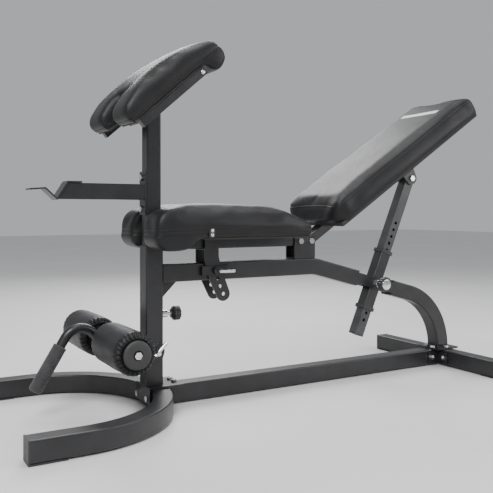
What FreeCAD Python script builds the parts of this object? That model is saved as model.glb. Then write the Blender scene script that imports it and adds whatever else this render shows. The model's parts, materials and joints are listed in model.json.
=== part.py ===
import FreeCAD, Part
import math
import os
import Sketcher

# Adjustable weight bench. Millimetres. +X runs from the leg lever to the rear foot, +Y is the left
# side, +Z is up. The origin is on the floor under the axis of the upright post.

DIMENSIONS = {
    # tubes and plates
    "tube_size": 50.0, "tube_wall": 2.5, "tube_corner": 4.0, "plate": 4.0, "heavy_plate": 6.0,
    "foot_height": 4.0, "foot_length": 80.0, "foot_wall": 4.0, "plug_length": 24.0,
    "fit": 0.2, "hole_play": 0.5, "play": 0.08, "slide_play": 0.5, "bolt": 10.0, "bolt_play": 0.3,
    # front stabilizer, floor beam and rear stabilizer
    "bow_radius": 280.0, "bow_apex": 12.0, "bow_arm": 125.0, "rear_reach": 1080.0, "rear_width": 580.0,
    "base_width": 100.0, "base_bolt_side": 35.0, "base_tail": 38.0, "base_drop": 42.0,
    "corner_leg": 46.0, "corner_height": 36.0, "bolt_length": 14.0, "leg_bolt_gap": 13.0,
    "leg_bolt_setback": 15.0, "leg_plate_margin": 23.0, "post_foot_width": 70.0,
    # upright post and the sliding upper post
    "post_top": 434.0, "upper_wall": 2.0, "upper_bottom": 172.0, "upper_first_hole": 188.0,
    "upper_holes": 4.0, "upper_pitch": 30.0, "post_pin_height": 248.0,
    "bush_lip": 4.0, "bush_wall": 1.3, "bush_skirt": 40.0,
    # seat rail, strut gap and rear leg
    "rail_height": 362.0, "rail_bend_reach": 535.0, "rail_bend_radius": 120.0, "frame_slope": 15.0,
    "strut_reach": 784.0, "gap_front": 88.0, "gap_rear": 70.0, "leg_foot_straight": 0.2,
    "cheek_height": 36.0, "yoke_gap": 1.0,
    # hinge bracket with the seat pivot and the backrest pivot
    "seat_pivot_reach": 477.0, "back_pivot_reach": 517.0, "pivot_height": 441.0, "pivot_bolt": 10.0,
    # seat
    "hinge_gap": 1.0, "flat_tube_height": 30.0, "seat_tube_front": 105.0, "board": 12.0,
    "seat_width": 286.0, "seat_board_front": 95.0, "seat_back_end": 452.0, "seat_pad_height": 77.0,
    "seat_nose": -48.0, "notch_play": 9.0, "adjuster_radius": 305.0, "adjuster_start": 14.5,
    "adjuster_step": 4.6, "adjuster_holes": 4.0, "adjuster_half": 20.0, "adjuster_gap": 1.5,
    # backrest
    "back_angle": 33.0, "back_tube_length": 412.0, "back_pad_start": 50.0, "back_pad_end": 752.0,
    "back_width": 288.0, "back_pad_height": 66.0, "hanger_reach": 462.0, "hanger_drop": 58.0,
    # strut and its swivelling sleeve
    "strut_size": 34.0, "strut_length": 556.0, "strut_pitch": 24.5, "strut_solid_head": 25.0,
    "strut_first_hole": 165.0, "sleeve_wall": 2.5, "hanger_gap": 1.5,
    "sleeve_below": 80.0, "sleeve_above": 105.0, "collar_length": 12.0, "collar_lip": 2.0,
    "hanger_pin": 12.0, "hanger_half": 32.0, "hanger_lug": 20.0, "hanger_wing": 40.0,
    # pull pins, their housings and knobs
    "near_trunnion": 16.0, "far_trunnion": 12.0, "nose_gap": 0.1, "housing_size": 22.0,
    "housing_length": 20.0, "post_housing_size": 20.0, "strut_pin_length": 48.0,
    "knob_size": 48.0, "knob_height": 22.0, "knob_gap": 3.0, "post_pin_length": 54.0,
    "post_knob_size": 40.0, "post_knob_height": 26.0, "post_knob_gap": 13.0, "knob_round": 4.0,
    "keeper_length": 88.0, "keeper_height": 26.0, "keeper_ear": 8.0, "keeper_boss": 22.0,
    "keeper_boss_length": 10.0, "seat_pin_length": 32.0, "seat_pin_inset": 0.4,
    "seat_handle": 12.0, "seat_handle_length": 48.0, "seat_handle_lead": 4.0,
    # insets of the boards and the nuts' sizes
    "board_inset": 12.0, "seat_board_gap": 14.0, "hinge_nut": 19.0, "hinge_head_height": 7.0,
    "hinge_nut_height": 9.0, "hinge_rise": 10.0, "hinge_lead": 20.0, "hinge_tail": 15.0,
    "seat_tube_tail": 13.0, "back_tube_tail": 12.0,
    # bar arm and hook on the upper post
    "arm_bolt_below": 46.0, "arm_bolt_above": 40.0, "flange_height": 118.0,
    "arm_height": 584.0, "arm_reach": 234.0, "arm_size": 42.0, "hook_width": 50.0,
    # preacher pad
    "preacher_angle": 41.0, "preacher_reach": -103.0, "preacher_height": 748.0,
    "preacher_width": 312.0, "preacher_length": 333.0, "preacher_notch": 40.0, "frame_bar": 20.0,
    # leg lever with its rollers and curl bar
    "lever_height": 150.0, "lever_pin": 12.0, "handle_size": 10.0, "handle_length": 48.0,
    "axle_reach": -131.0, "axle_height": 192.0, "lever_gap": 1.0, "roller_clearance": 6.0,
    "axle_size": 16.0, "roller_size": 106.0, "roller_length": 196.0,
    "roller_bore": 30.0, "cap_size": 70.0, "curl_size": 25.0, "curl_wall": 2.0,
    "curl_top_reach": -206.0, "curl_top_height": 258.0, "curl_tip_reach": -314.0,
    "curl_tip_height": 79.0, "curl_bend": 45.0, "grip_size": 36.0, "grip_length": 125.0,
}

# Sizes that fit to others. Each follows from named sizes and a named clearance.
FITTED = {
    "strut_hole": "pivot_bolt + 2 * hole_play",
    "upper_size": "tube_size - 2 * (tube_wall + slide_play + bush_wall + fit)",
    "inner_tube": "tube_size - 2 * (plate + hinge_gap)",
    "notch_half": "tube_size / 2 + notch_play",
    "sleeve_size": "strut_size + 2 * (slide_play + sleeve_wall)",
    "yoke_width": "sleeve_size + 2 * (yoke_gap + plate)",
    "leg_bolt_side": "tube_size / 2 + leg_bolt_gap",
    "leg_bolt_reach": "tube_size / 2 + leg_bolt_setback",
    "leg_plate": "tube_size + 2 * leg_plate_margin",
    "roller_gap": "tube_size / 2 + lever_gap + plate + roller_clearance",
}

os.makedirs("parts", exist_ok=True)
doc = FreeCAD.newDocument("weight_bench")
sheet = doc.addObject("Spreadsheet::Sheet", "Dims")
cells = {alias: str(value) for alias, value in DIMENSIONS.items()}
cells.update({alias: "=" + formula for alias, formula in FITTED.items()})
for row, alias in enumerate(cells, start=1):
    sheet.set("A%d" % row, alias)
    sheet.setAlias("B%d" % row, alias)
for row, content in enumerate(cells.values(), start=1):
    sheet.set("B%d" % row, content)
doc.recompute()


class Sizes:
    """The sheet's cells, read by name."""
    def __getattr__(self, alias):
        return float(sheet.get(alias))


size = Sizes()
parts = []
X_AXIS = FreeCAD.Vector(1, 0, 0)
Y_AXIS = FreeCAD.Vector(0, 1, 0)
Z_AXIS = FreeCAD.Vector(0, 0, 1)


# ---------------------------------------------------------------- helpers

def vec(x, y, z):
    return FreeCAD.Vector(x, y, z)


def frame_at(base, x_dir, z_dir):
    """Placement whose local X and Z point along x_dir and z_dir."""
    y_dir = z_dir.cross(x_dir)
    matrix = FreeCAD.Matrix(
        x_dir.x, y_dir.x, z_dir.x, base.x,
        x_dir.y, y_dir.y, z_dir.y, base.y,
        x_dir.z, y_dir.z, z_dir.z, base.z, 0, 0, 0, 1)
    return FreeCAD.Placement(matrix)


def slope_frame(reach, height, degrees):
    """Frame in the bench's middle plane: local X climbs at the angle, local Y points to +Z's side."""
    turn = math.radians(degrees)
    along = vec(math.cos(turn), 0, math.sin(turn))
    return frame_at(vec(reach, 0, height), along, vec(0, -1, 0))


def keep(item, label):
    """Name an object as a sub-part of the bench."""
    item.Label = label
    parts.append(item)
    return item


def bound(kind, name, **sizes):
    """Part primitive whose properties follow expressions on the sheet."""
    item = doc.addObject(kind, name)
    for prop, text in sizes.items():
        item.setExpression(prop, text)
    return item


def block(name, length, width, height, placement):
    item = bound("Part::Box", name, Length=length, Width=width, Height=height)
    item.Placement = placement
    return item


def round_bar(name, radius, height, base, axis):
    """Cylinder that starts at base and runs along axis."""
    item = bound("Part::Cylinder", name, Radius=radius, Height=height)
    item.Placement = FreeCAD.Placement(base, FreeCAD.Rotation(Z_AXIS, axis))
    return item


def hexagon(name, radius, height, base, axis):
    item = bound("Part::Prism", name, Circumradius=radius, Height=height)
    item.Polygon = 6
    item.Placement = FreeCAD.Placement(base, FreeCAD.Rotation(Z_AXIS, axis))
    return item


def fuse(name, items):
    item = doc.addObject("Part::MultiFuse", name)
    item.Shapes = items
    item.Refine = True
    return item


def cut(name, base, tools):
    """Base minus every tool."""
    item = doc.addObject("Part::Cut", name)
    item.Base = base
    item.Tool = tools[0] if len(tools) == 1 else fuse(name + "_tools", tools)
    return item


def drill(name, base, places):
    """Base with clearance holes for bolts at (head seat, shank direction) places."""
    tools = [round_bar("%s_hole_%d" % (name, index), "Dims.bolt / 2 + Dims.bolt_play",
                       "Dims.bolt_length * 2", seat - direction * size.bolt_length / 2, direction)
             for index, (seat, direction) in enumerate(places)]
    return cut(name, base, tools)


def group(name, items):
    """Separate solids that share one node."""
    item = doc.addObject("Part::Compound", name)
    item.Links = items
    return item


def origin_plane(body, role):
    return next(plane for plane in body.Origin.OriginFeatures if plane.Role == role)


def rounded_rectangle(sketch, width, height, corner, tag):
    """Centred rounded rectangle, its sizes bound to the sheet. Sizes are expressions."""
    w, h, c = (float(doc.Dims.evalExpression(text)) for text in (width, height, corner))
    x, y = w / 2, h / 2
    first = len(sketch.Geometry)
    ends = [((-x + c, -y), (x - c, -y)), ((x, -y + c), (x, y - c)),
            ((x - c, y), (-x + c, y)), ((-x, y - c), (-x, -y + c))]
    centres = [(x - c, -y + c), (x - c, y - c), (-x + c, y - c), (-x + c, -y + c)]
    for side in range(4):
        start, end = (vec(px, py, 0) for px, py in ends[side])
        sketch.addGeometry(Part.LineSegment(start, end), False)
        circle = Part.Circle(vec(centres[side][0], centres[side][1], 0), Z_AXIS, c)
        low = math.radians(90 * side - 90)
        sketch.addGeometry(Part.ArcOfCircle(circle, low, low + math.pi / 2), False)
    for side in range(4):
        line, arc = first + 2 * side, first + 2 * side + 1
        following = first + (2 * side + 2) % 8
        sketch.addConstraint(Sketcher.Constraint("Tangent", line, 2, arc, 1))
        sketch.addConstraint(Sketcher.Constraint("Tangent", arc, 2, following, 1))
        kind = "Horizontal" if side % 2 == 0 else "Vertical"
        sketch.addConstraint(Sketcher.Constraint(kind, line))
        if side:
            sketch.addConstraint(Sketcher.Constraint("Equal", first + 1, arc))
    sketch.addConstraint(Sketcher.Constraint("Symmetric", first, 1, first + 4, 1, -1, 1))
    driven = [("Radius", (first + 1, c), corner), ("DistanceX", (first + 6, 1, first + 2, 1, w), width),
              ("DistanceY", (first, 1, first + 4, 1, h), height)]
    for kind, arguments, text in driven:
        index = sketch.addConstraint(Sketcher.Constraint(kind, *arguments))
        sketch.renameConstraint(index, tag + kind)
        sketch.setExpression("Constraints." + tag + kind, text)


def padded_body(name, draw, length, placement):
    """Body with one sketch on its XY plane, padded to a bound length."""
    body = doc.addObject("PartDesign::Body", name)
    sketch = body.newObject("Sketcher::SketchObject", name + "_sketch")
    sketch.AttachmentSupport = [(origin_plane(body, "XY_Plane"), "")]
    sketch.MapMode = "FlatFace"
    draw(sketch)
    pad = body.newObject("PartDesign::Pad", name + "_pad")
    pad.Profile = sketch
    pad.setExpression("Length", length)
    body.Placement = placement
    return body


def tube(name, width, height, wall, length, base, along, up):
    """Straight hollow tube with rounded corners, from base along a direction."""
    def draw(sketch):
        rounded_rectangle(sketch, width, height, "Dims.tube_corner", "outer")
        inner = "(%s) - 2 * (%s)"
        rounded_rectangle(sketch, inner % (width, wall), inner % (height, wall),
                          "Dims.tube_corner - %s" % wall, "inner")
    side = up.cross(along)
    return padded_body(name, draw, length, frame_at(base, side, along))


def rounded_outline(points):
    """Closed outline through (x, y, radius) corners, as line segments and tangent arcs."""
    count = len(points)
    trims = []
    for index, (x, y, radius) in enumerate(points):
        here = vec(x, y, 0)
        before = (vec(*points[index - 1][:2], 0) - here).normalize()
        after = (vec(*points[(index + 1) % count][:2], 0) - here).normalize()
        half = before.getAngle(after) / 2
        if radius == 0:
            trims.append((here, None, here))
            continue
        back = radius / math.tan(half)
        middle = here + (before + after).normalize() * (radius / math.sin(half) - radius)
        trims.append((here + before * back, middle, here + after * back))
    edges = []
    for index, (start, middle, end) in enumerate(trims):
        if middle is not None:
            edges.append(Part.ArcOfCircle(start, middle, end))
        following = trims[(index + 1) % count][0]
        if (following - end).Length > 1e-6:
            edges.append(Part.LineSegment(end, following))
    return edges


def profile(name, points, width, placement, holes=()):
    """Outline in local XY with round holes (x, y, radius), padded along local Z."""
    def draw(sketch):
        for edge in rounded_outline(points):
            sketch.addGeometry(edge, False)
        for x, y, radius in holes:
            sketch.addGeometry(Part.Circle(vec(x, y, 0), Z_AXIS, radius), False)
    return padded_body(name, draw, width, placement)


def side_placement(reach, height, width, degrees=0.0, side=0.0):
    """Places a profile drawn along the bench so that it is centred on the plane y = side."""
    placement = slope_frame(reach, height, degrees)
    placement.Base.y = side + width / 2
    return placement


def path_wire(points, radii):
    """Wire of straight runs joined by tangent arcs of the given radii."""
    edges = []
    start = points[0]
    for index, radius in enumerate(radii, start=1):
        corner = points[index]
        before = (points[index - 1] - corner).normalize()
        after = (points[index + 1] - corner).normalize()
        half = before.getAngle(after) / 2
        back = radius / math.tan(half)
        arc_start = corner + before * back
        arc_end = corner + after * back
        middle = corner + (before + after).normalize() * (radius / math.sin(half) - radius)
        if (arc_start - start).Length > 1e-6:
            edges.append(Part.LineSegment(start, arc_start).toShape())
        edges.append(Part.Arc(arc_start, middle, arc_end).toShape())
        start = arc_end
    if (points[-1] - start).Length > 1e-6:
        edges.append(Part.LineSegment(start, points[-1]).toShape())
    return Part.Wire(edges)


def square_section(width, corner, base, along, up):
    """Rounded square wire round base, square to along."""
    half = width / 2
    corners = [(-half, -half, corner), (half, -half, corner), (half, half, corner), (-half, half, corner)]
    wire = Part.Wire([edge.toShape() for edge in rounded_outline(corners)])
    wire.Placement = frame_at(base, up.cross(along), along)
    return wire


def round_section(radius, base, along):
    return Part.Wire([Part.Circle(base, along, radius).toShape()])


def swept(name, wire, outer, inner):
    """Hollow bent tube: the outer section swept along the wire, less the inner one."""
    shape = wire.makePipeShell([outer], True, False).cut(wire.makePipeShell([inner], True, False))
    item = doc.addObject("Part::Feature", name)
    item.Shape = shape
    return item


def bolts(name, shank_length, places):
    """Hex bolts at (head seat, shank direction) places. The head stands clear of the shank's side."""
    made = []
    for index, (seat, direction) in enumerate(places):
        tag = "%s_%d" % (name, index)
        head = hexagon(tag + "_head", "Dims.bolt * 0.85", "Dims.bolt * 0.6", seat, direction * -1)
        shank = round_bar(tag + "_shank", "Dims.bolt / 2", shank_length, seat, direction)
        made.append(fuse(tag, [head, shank]))
    return group(name, made)


# ---------------------------------------------------------------- shared places

half_tube = size.tube_size / 2
beam_height = size.foot_height + half_tube
beam_top = size.foot_height + size.tube_size
post_bottom = beam_top + size.heavy_plate
bow_centre = size.bow_apex - size.bow_radius
bow_tip = bow_centre - size.bow_arm
slope = math.radians(size.frame_slope)
down_slope = vec(math.cos(slope), 0, -math.sin(slope))
slope_up = vec(math.sin(slope), 0, math.cos(slope))
rail_corner = vec(size.rail_bend_reach, 0, size.rail_height)
strut_run = (size.strut_reach - size.rail_bend_reach) / math.cos(slope)
strut_pivot = rail_corner + down_slope * strut_run
leg_run = (size.rear_reach - size.rail_bend_reach) / math.cos(slope)
leg_corner = rail_corner + down_slope * leg_run
back_pivot = vec(size.back_pivot_reach, 0, size.pivot_height)
seat_pivot = vec(size.seat_pivot_reach, 0, size.pivot_height)
back_turn = math.radians(size.back_angle)
back_along = vec(math.cos(back_turn), 0, math.sin(back_turn))
back_normal = vec(-math.sin(back_turn), 0, math.cos(back_turn))
hanger = back_pivot + back_along * size.hanger_reach - back_normal * size.hanger_drop
strut_along = (hanger - strut_pivot).normalize()
strut_degrees = math.degrees(math.atan2(strut_along.z, strut_along.x))
pin_radius = size.pivot_bolt / 2
pin_bore = pin_radius + size.play
seat_tube_top = size.pivot_height + size.flat_tube_height / 2
seat_pad_bottom = seat_tube_top + size.board
preacher = vec(size.preacher_reach, 0, size.preacher_height)
preacher_turn = math.radians(size.preacher_angle)
preacher_along = vec(math.cos(preacher_turn), 0, math.sin(preacher_turn))
preacher_normal = vec(-math.sin(preacher_turn), 0, math.cos(preacher_turn))
lever_pivot = vec(0, 0, size.lever_height)
axle = vec(size.axle_reach, 0, size.axle_height)
lever_along = (axle - lever_pivot).normalize()
lever_degrees = math.degrees(math.atan2(lever_along.z, lever_along.x))
LEFT, RIGHT = 1, -1
bow_inside = size.bow_apex - half_tube
base_lip = bow_inside - size.heavy_plate
base_end = size.bow_apex + half_tube + size.base_tail
rear_face = size.rear_reach - half_tube
leg_plate_top = beam_top + size.heavy_plate


def mirrored(make_place):
    """One place on each side of the middle plane."""
    return [make_place(side) for side in (LEFT, RIGHT)]


BOW_BOLTS = mirrored(lambda side: (vec(base_lip - size.heavy_plate, side * size.base_bolt_side,
                                       beam_height), X_AXIS))
BEAM_BOLTS = mirrored(lambda side: (vec(base_end - size.bolt * 1.4, side * size.bolt * 1.4,
                                        post_bottom), Z_AXIS * -1))
BEAM_CORNER_BOLTS = mirrored(lambda side: (vec(rear_face - size.corner_leg + size.bolt * 1.2,
                                               side * (half_tube + size.plate), beam_height),
                                           Y_AXIS * -side))
REAR_CORNER_BOLTS = mirrored(lambda side: (vec(rear_face - size.plate, side * (
    half_tube + size.corner_leg - size.bolt * 1.2), beam_height), X_AXIS))
LEG_BEAM_BOLTS = mirrored(lambda side: (vec(size.rear_reach - size.leg_bolt_reach,
                                            side * size.bolt * 1.4, leg_plate_top), Z_AXIS * -1))
LEG_REAR_BOLTS = mirrored(lambda side: (vec(size.rear_reach, side * size.leg_bolt_side,
                                            leg_plate_top), Z_AXIS * -1))
ARM_BOLTS = [(vec(-size.upper_size / 2 - size.heavy_plate, 0, size.arm_height + offset), X_AXIS)
             for offset in (-size.arm_bolt_below, size.arm_bolt_above)]


# ---------------------------------------------------------------- floor frame

def front_stabilizer():
    """Square tube bent into a bow that opens to the front."""
    tip = vec(bow_tip, -size.bow_radius, beam_height)
    arm_end = vec(bow_centre, -size.bow_radius, beam_height)
    apex = vec(size.bow_apex, 0, beam_height)
    mirror = FreeCAD.Matrix()
    mirror.A22 = -1
    far_arm_end = mirror.multiply(arm_end)
    wire = Part.Wire([
        Part.LineSegment(tip, arm_end).toShape(),
        Part.Arc(arm_end, apex, far_arm_end).toShape(),
        Part.LineSegment(far_arm_end, mirror.multiply(tip)).toShape()])
    outer = square_section(size.tube_size, size.tube_corner, tip, X_AXIS, Z_AXIS)
    inner = square_section(size.tube_size - 2 * size.tube_wall, size.tube_corner - size.tube_wall,
                           tip, X_AXIS, Z_AXIS)
    bow = swept("front_stabilizer_tube", wire, outer, inner)
    keep(drill("bow_drilled", bow, BOW_BOLTS), "front_stabilizer")


def foot(name, tip, outward):
    """Plastic shoe on a tube's end: a sole, an end wall and a plug in the tube."""
    across = outward.cross(Z_AXIS)
    down = tip - across * half_tube - Z_AXIS * (half_tube + size.foot_height)
    sole = block(name + "_sole", "Dims.tube_size", "Dims.foot_length", "Dims.foot_height",
                 frame_at(down - outward * size.foot_length, across, Z_AXIS))
    wall = block(name + "_wall", "Dims.tube_size", "Dims.foot_wall", "Dims.tube_size + Dims.foot_height",
                 frame_at(down, across, Z_AXIS))
    reach = half_tube - size.tube_wall - size.slide_play
    plug_corner = tip - (across + Z_AXIS) * reach - outward * size.plug_length
    plug_size = "Dims.tube_size - 2 * (Dims.tube_wall + Dims.slide_play)"
    plug = block(name + "_plug", plug_size, "Dims.plug_length", plug_size,
                 frame_at(plug_corner, across, Z_AXIS))
    return fuse(name, [sole, wall, plug])


def feet():
    front = [foot("front_foot_%d" % side, vec(bow_tip, side * size.bow_radius, beam_height), X_AXIS * -1)
             for side in (LEFT, RIGHT)]
    keep(group("front_feet_group", front), "front_feet")
    rear = [foot("rear_foot_%d" % (side + 1),
                 vec(size.rear_reach, side * size.rear_width / 2, beam_height), Y_AXIS * side)
            for side in (LEFT, RIGHT)]
    keep(group("rear_feet_group", rear), "rear_feet")
    pad = block("post_foot_block", "Dims.tube_size", "Dims.post_foot_width", "Dims.foot_height",
                FreeCAD.Placement(vec(size.bow_apex - half_tube, -size.post_foot_width / 2, 0),
                                  FreeCAD.Rotation()))
    keep(pad, "post_foot")


def floor_tubes():
    gap = size.slide_play
    beam_start = size.bow_apex + half_tube + gap
    beam = tube("floor_beam_tube", "Dims.tube_size", "Dims.tube_size", "Dims.tube_wall",
                "Dims.rear_reach - Dims.bow_apex - Dims.tube_size - Dims.slide_play",
                vec(beam_start, 0, beam_height), X_AXIS, Z_AXIS)
    keep(drill("floor_beam_drilled", beam, BEAM_BOLTS + BEAM_CORNER_BOLTS + LEG_BEAM_BOLTS), "floor_beam")
    rear = tube("rear_stabilizer_tube", "Dims.tube_size", "Dims.tube_size", "Dims.tube_wall",
                "Dims.rear_width", vec(size.rear_reach, -size.rear_width / 2, beam_height),
                Y_AXIS, Z_AXIS)
    keep(drill("rear_stabilizer_drilled", rear, REAR_CORNER_BOLTS + LEG_REAR_BOLTS), "rear_stabilizer")


def base_bracket():
    """Folded plate on the bow's apex that carries the post."""
    front = base_lip - size.heavy_plate
    low = beam_top - size.base_drop
    outline = [(front, low, 2), (base_lip, low, 0), (base_lip, beam_top, 0), (base_end, beam_top, 0),
               (base_end, post_bottom, 0), (front, post_bottom, 4)]
    blank = profile("base_bracket_blank", outline, "Dims.base_width",
                    side_placement(0, 0, size.base_width))
    keep(drill("base_bracket_drilled", blank, BOW_BOLTS + BEAM_BOLTS), "base_bracket")
    keep(bolts("base_bolt_group", "Dims.bolt_length", BOW_BOLTS + BEAM_BOLTS), "base_bolts")


def corner_brackets():
    """Folded angles that tie the floor beam to the rear stabilizer."""
    thick, leg = size.plate, size.corner_leg
    made = []
    for side in (LEFT, RIGHT):
        near = side * half_tube
        outline = [(rear_face, near, 0), (rear_face - leg, near, 0),
                   (rear_face - leg, near + side * thick, 0),
                   (rear_face - thick, near + side * thick, 0),
                   (rear_face - thick, near + side * leg, 0), (rear_face, near + side * leg, 0)]
        base = vec(0, 0, beam_height - size.corner_height / 2)
        blank = profile("corner_angle_%d" % (side + 1), outline, "Dims.corner_height",
                        FreeCAD.Placement(base, FreeCAD.Rotation()))
        made.append(drill("corner_drilled_%d" % (side + 1), blank,
                          BEAM_CORNER_BOLTS + REAR_CORNER_BOLTS))
    keep(group("corner_bracket_group", made), "corner_brackets")
    keep(bolts("rear_bolt_group", "Dims.bolt_length - 2",
               BEAM_CORNER_BOLTS + REAR_CORNER_BOLTS + LEG_BEAM_BOLTS + LEG_REAR_BOLTS), "rear_bolts")


# ---------------------------------------------------------------- post, rail and rear leg

def post():
    blank = tube("post_blank", "Dims.tube_size", "Dims.tube_size", "Dims.tube_wall",
                 "Dims.post_top - Dims.foot_height - Dims.tube_size - Dims.heavy_plate",
                 vec(0, 0, post_bottom), Z_AXIS, X_AXIS)
    pivot = round_bar("post_pivot_hole", "Dims.lever_pin / 2 + Dims.play", "Dims.tube_size + 10",
                      vec(0, -half_tube - 5, size.lever_height), Y_AXIS)
    pin = round_bar("post_pin_hole", "Dims.pivot_bolt / 2 + Dims.play", "20",
                    vec(half_tube - 10, 0, size.post_pin_height), X_AXIS)
    keep(cut("post_cut", blank, [pivot, pin]), "post")
    gusset = [(half_tube, -size.tube_size, 0), (half_tube, 0, 0), (half_tube + size.tube_size, 0, 0)]
    keep(profile("post_gusset_body", gusset, "Dims.plate",
                 side_placement(0, size.rail_height - half_tube, size.plate)), "post_gusset")


def post_bush():
    """Plastic guide in the post's mouth, with a lip on top."""
    lip = block("bush_lip", "Dims.tube_size", "Dims.tube_size", "Dims.bush_lip",
                FreeCAD.Placement(vec(-half_tube, -half_tube, size.post_top), FreeCAD.Rotation()))
    reach = half_tube - size.tube_wall - size.slide_play
    skirt_size = "Dims.tube_size - 2 * (Dims.tube_wall + Dims.slide_play)"
    skirt = block("bush_skirt", skirt_size, skirt_size, "Dims.bush_skirt",
                  FreeCAD.Placement(vec(-reach, -reach, size.post_top - size.bush_skirt),
                                    FreeCAD.Rotation()))
    inner = size.upper_size / 2 + size.fit
    bore_size = "Dims.upper_size + 2 * Dims.fit"
    bore = block("bush_bore", bore_size, bore_size, "2 * Dims.bush_skirt",
                 FreeCAD.Placement(vec(-inner, -inner, size.post_top - 1.5 * size.bush_skirt),
                                   FreeCAD.Rotation()))
    keep(cut("post_bush_cut", fuse("bush_blank", [lip, skirt]), [bore]), "post_bush")


def frame_sections(base, along, up):
    outer = square_section(size.tube_size, size.tube_corner, base, along, up)
    inner = square_section(size.tube_size - 2 * size.tube_wall, size.tube_corner - size.tube_wall,
                           base, along, up)
    return outer, inner


def seat_rail():
    start = vec(half_tube, 0, size.rail_height)
    end = strut_pivot - down_slope * size.gap_front
    wire = path_wire([start, rail_corner, end], [size.rail_bend_radius])
    keep(swept("seat_rail_tube", wire, *frame_sections(start, X_AXIS, Z_AXIS)), "seat_rail")


def rear_leg():
    """Tube that carries on the rail's slope, curves down and ends on a bolted foot plate."""
    start = strut_pivot + down_slope * size.gap_rear
    end = vec(size.rear_reach, 0, post_bottom)
    run = leg_corner.z - end.z - size.leg_foot_straight
    radius = run / math.tan(math.radians(90 - size.frame_slope) / 2)
    wire = path_wire([start, leg_corner, end], [radius])
    blank = swept("rear_leg_tube", wire, *frame_sections(start, down_slope, slope_up))
    corner = vec(size.rear_reach - size.leg_plate / 2, -size.leg_plate / 2, beam_top)
    plate = block("rear_leg_plate", "Dims.leg_plate", "Dims.leg_plate", "Dims.heavy_plate",
                  FreeCAD.Placement(corner, FreeCAD.Rotation()))
    keep(drill("rear_leg_drilled", fuse("rear_leg_weldment", [blank, plate]),
               LEG_BEAM_BOLTS + LEG_REAR_BOLTS), "rear_leg")


def strut_yoke():
    """Two cheek plates between the rail's end and the leg's start, where the strut's sleeve swivels."""
    outer = size.yoke_width / 2

    def piece(name, along, right, low, length, width, height):
        """Block set off from the strut's pivot along the slope; right is its lowest y."""
        corner = strut_pivot + down_slope * along + Y_AXIS * right + slope_up * low
        return block(name, length, width, height, frame_at(corner, down_slope, slope_up))

    cheek_length = "Dims.gap_front + Dims.gap_rear - 2 * Dims.plate"
    items = [piece("yoke_cheek_%d" % index, size.plate - size.gap_front, right, -size.cheek_height / 2,
                   cheek_length, "Dims.plate", "Dims.cheek_height")
             for index, right in enumerate((-outer, outer - size.plate))]
    items += [piece("yoke_end_%d" % index, along, -outer, -half_tube, "Dims.plate", "Dims.yoke_width",
                    "Dims.tube_size")
              for index, along in enumerate((-size.gap_front, size.gap_rear - size.plate))]
    near = round_bar("yoke_near_hole", "Dims.near_trunnion / 2", "Dims.plate * 3",
                     strut_pivot - Y_AXIS * (outer + size.plate), Y_AXIS)
    far = round_bar("yoke_far_hole", "Dims.far_trunnion / 2", "Dims.plate * 3",
                    strut_pivot + Y_AXIS * (outer + size.plate), Y_AXIS * -1)
    keep(cut("strut_yoke_cut", fuse("yoke_blank", items), [near, far]), "strut_yoke")


def hinge_bracket():
    """Channel on the rail that holds the seat pivot and the backrest pivot."""
    bottom = size.rail_height + half_tube
    top = size.pivot_height + size.hinge_rise
    inner = half_tube - size.plate
    front = size.seat_pivot_reach - size.hinge_lead
    outline = [(-half_tube, bottom, 0), (half_tube, bottom, 0), (half_tube, top, 3), (inner, top, 0),
               (inner, bottom + size.plate, 0), (-inner, bottom + size.plate, 0), (-inner, top, 0),
               (-half_tube, top, 3)]
    blank = profile("hinge_bracket_blank", outline,
                    "Dims.back_pivot_reach - Dims.seat_pivot_reach + Dims.hinge_lead + Dims.hinge_tail",
                    frame_at(vec(front, 0, 0), Y_AXIS, X_AXIS))
    holes = [round_bar("hinge_hole_%d" % index, "Dims.pivot_bolt / 2 + Dims.play", "Dims.tube_size + 10",
                       centre - Y_AXIS * (half_tube + 5), Y_AXIS)
             for index, centre in enumerate((seat_pivot, back_pivot))]
    keep(cut("hinge_bracket_cut", blank, holes), "hinge_bracket")
    made = []
    for index, centre in enumerate((seat_pivot, back_pivot)):
        seat = centre - Y_AXIS * half_tube
        pieces = [
            hexagon("hinge_head_%d" % index, "Dims.hinge_nut / 2", "Dims.hinge_head_height", seat,
                    Y_AXIS * -1),
            round_bar("hinge_shank_%d" % index, "Dims.pivot_bolt / 2", "Dims.tube_size", seat, Y_AXIS),
            hexagon("hinge_nut_%d" % index, "Dims.hinge_nut / 2", "Dims.hinge_nut_height",
                    centre + Y_AXIS * half_tube, Y_AXIS)]
        made.append(fuse("hinge_bolt_%d" % index, pieces))
    keep(group("hinge_bolt_group", made), "hinge_bolts")


# ---------------------------------------------------------------- seat

def seat_frame():
    front = vec(size.seat_tube_front, 0, size.pivot_height)
    blank = tube("seat_frame_blank", "Dims.inner_tube", "Dims.flat_tube_height", "Dims.tube_wall",
                 "Dims.seat_pivot_reach + Dims.seat_tube_tail - Dims.seat_tube_front", front, X_AXIS, Z_AXIS)
    bore = round_bar("seat_frame_bore", "Dims.pivot_bolt / 2 + Dims.play", "Dims.tube_size",
                     seat_pivot - Y_AXIS * half_tube, Y_AXIS)
    keep(cut("seat_frame_cut", blank, [bore]), "seat_frame")


def adjuster_point(step, radius=None):
    """Point on the arc of the seat adjuster's holes, a number of steps below the first one."""
    turn = math.radians(180 + size.adjuster_start + step * size.adjuster_step)
    reach = size.adjuster_radius if radius is None else radius
    return seat_pivot + vec(math.cos(turn), 0, math.sin(turn)) * reach


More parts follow.
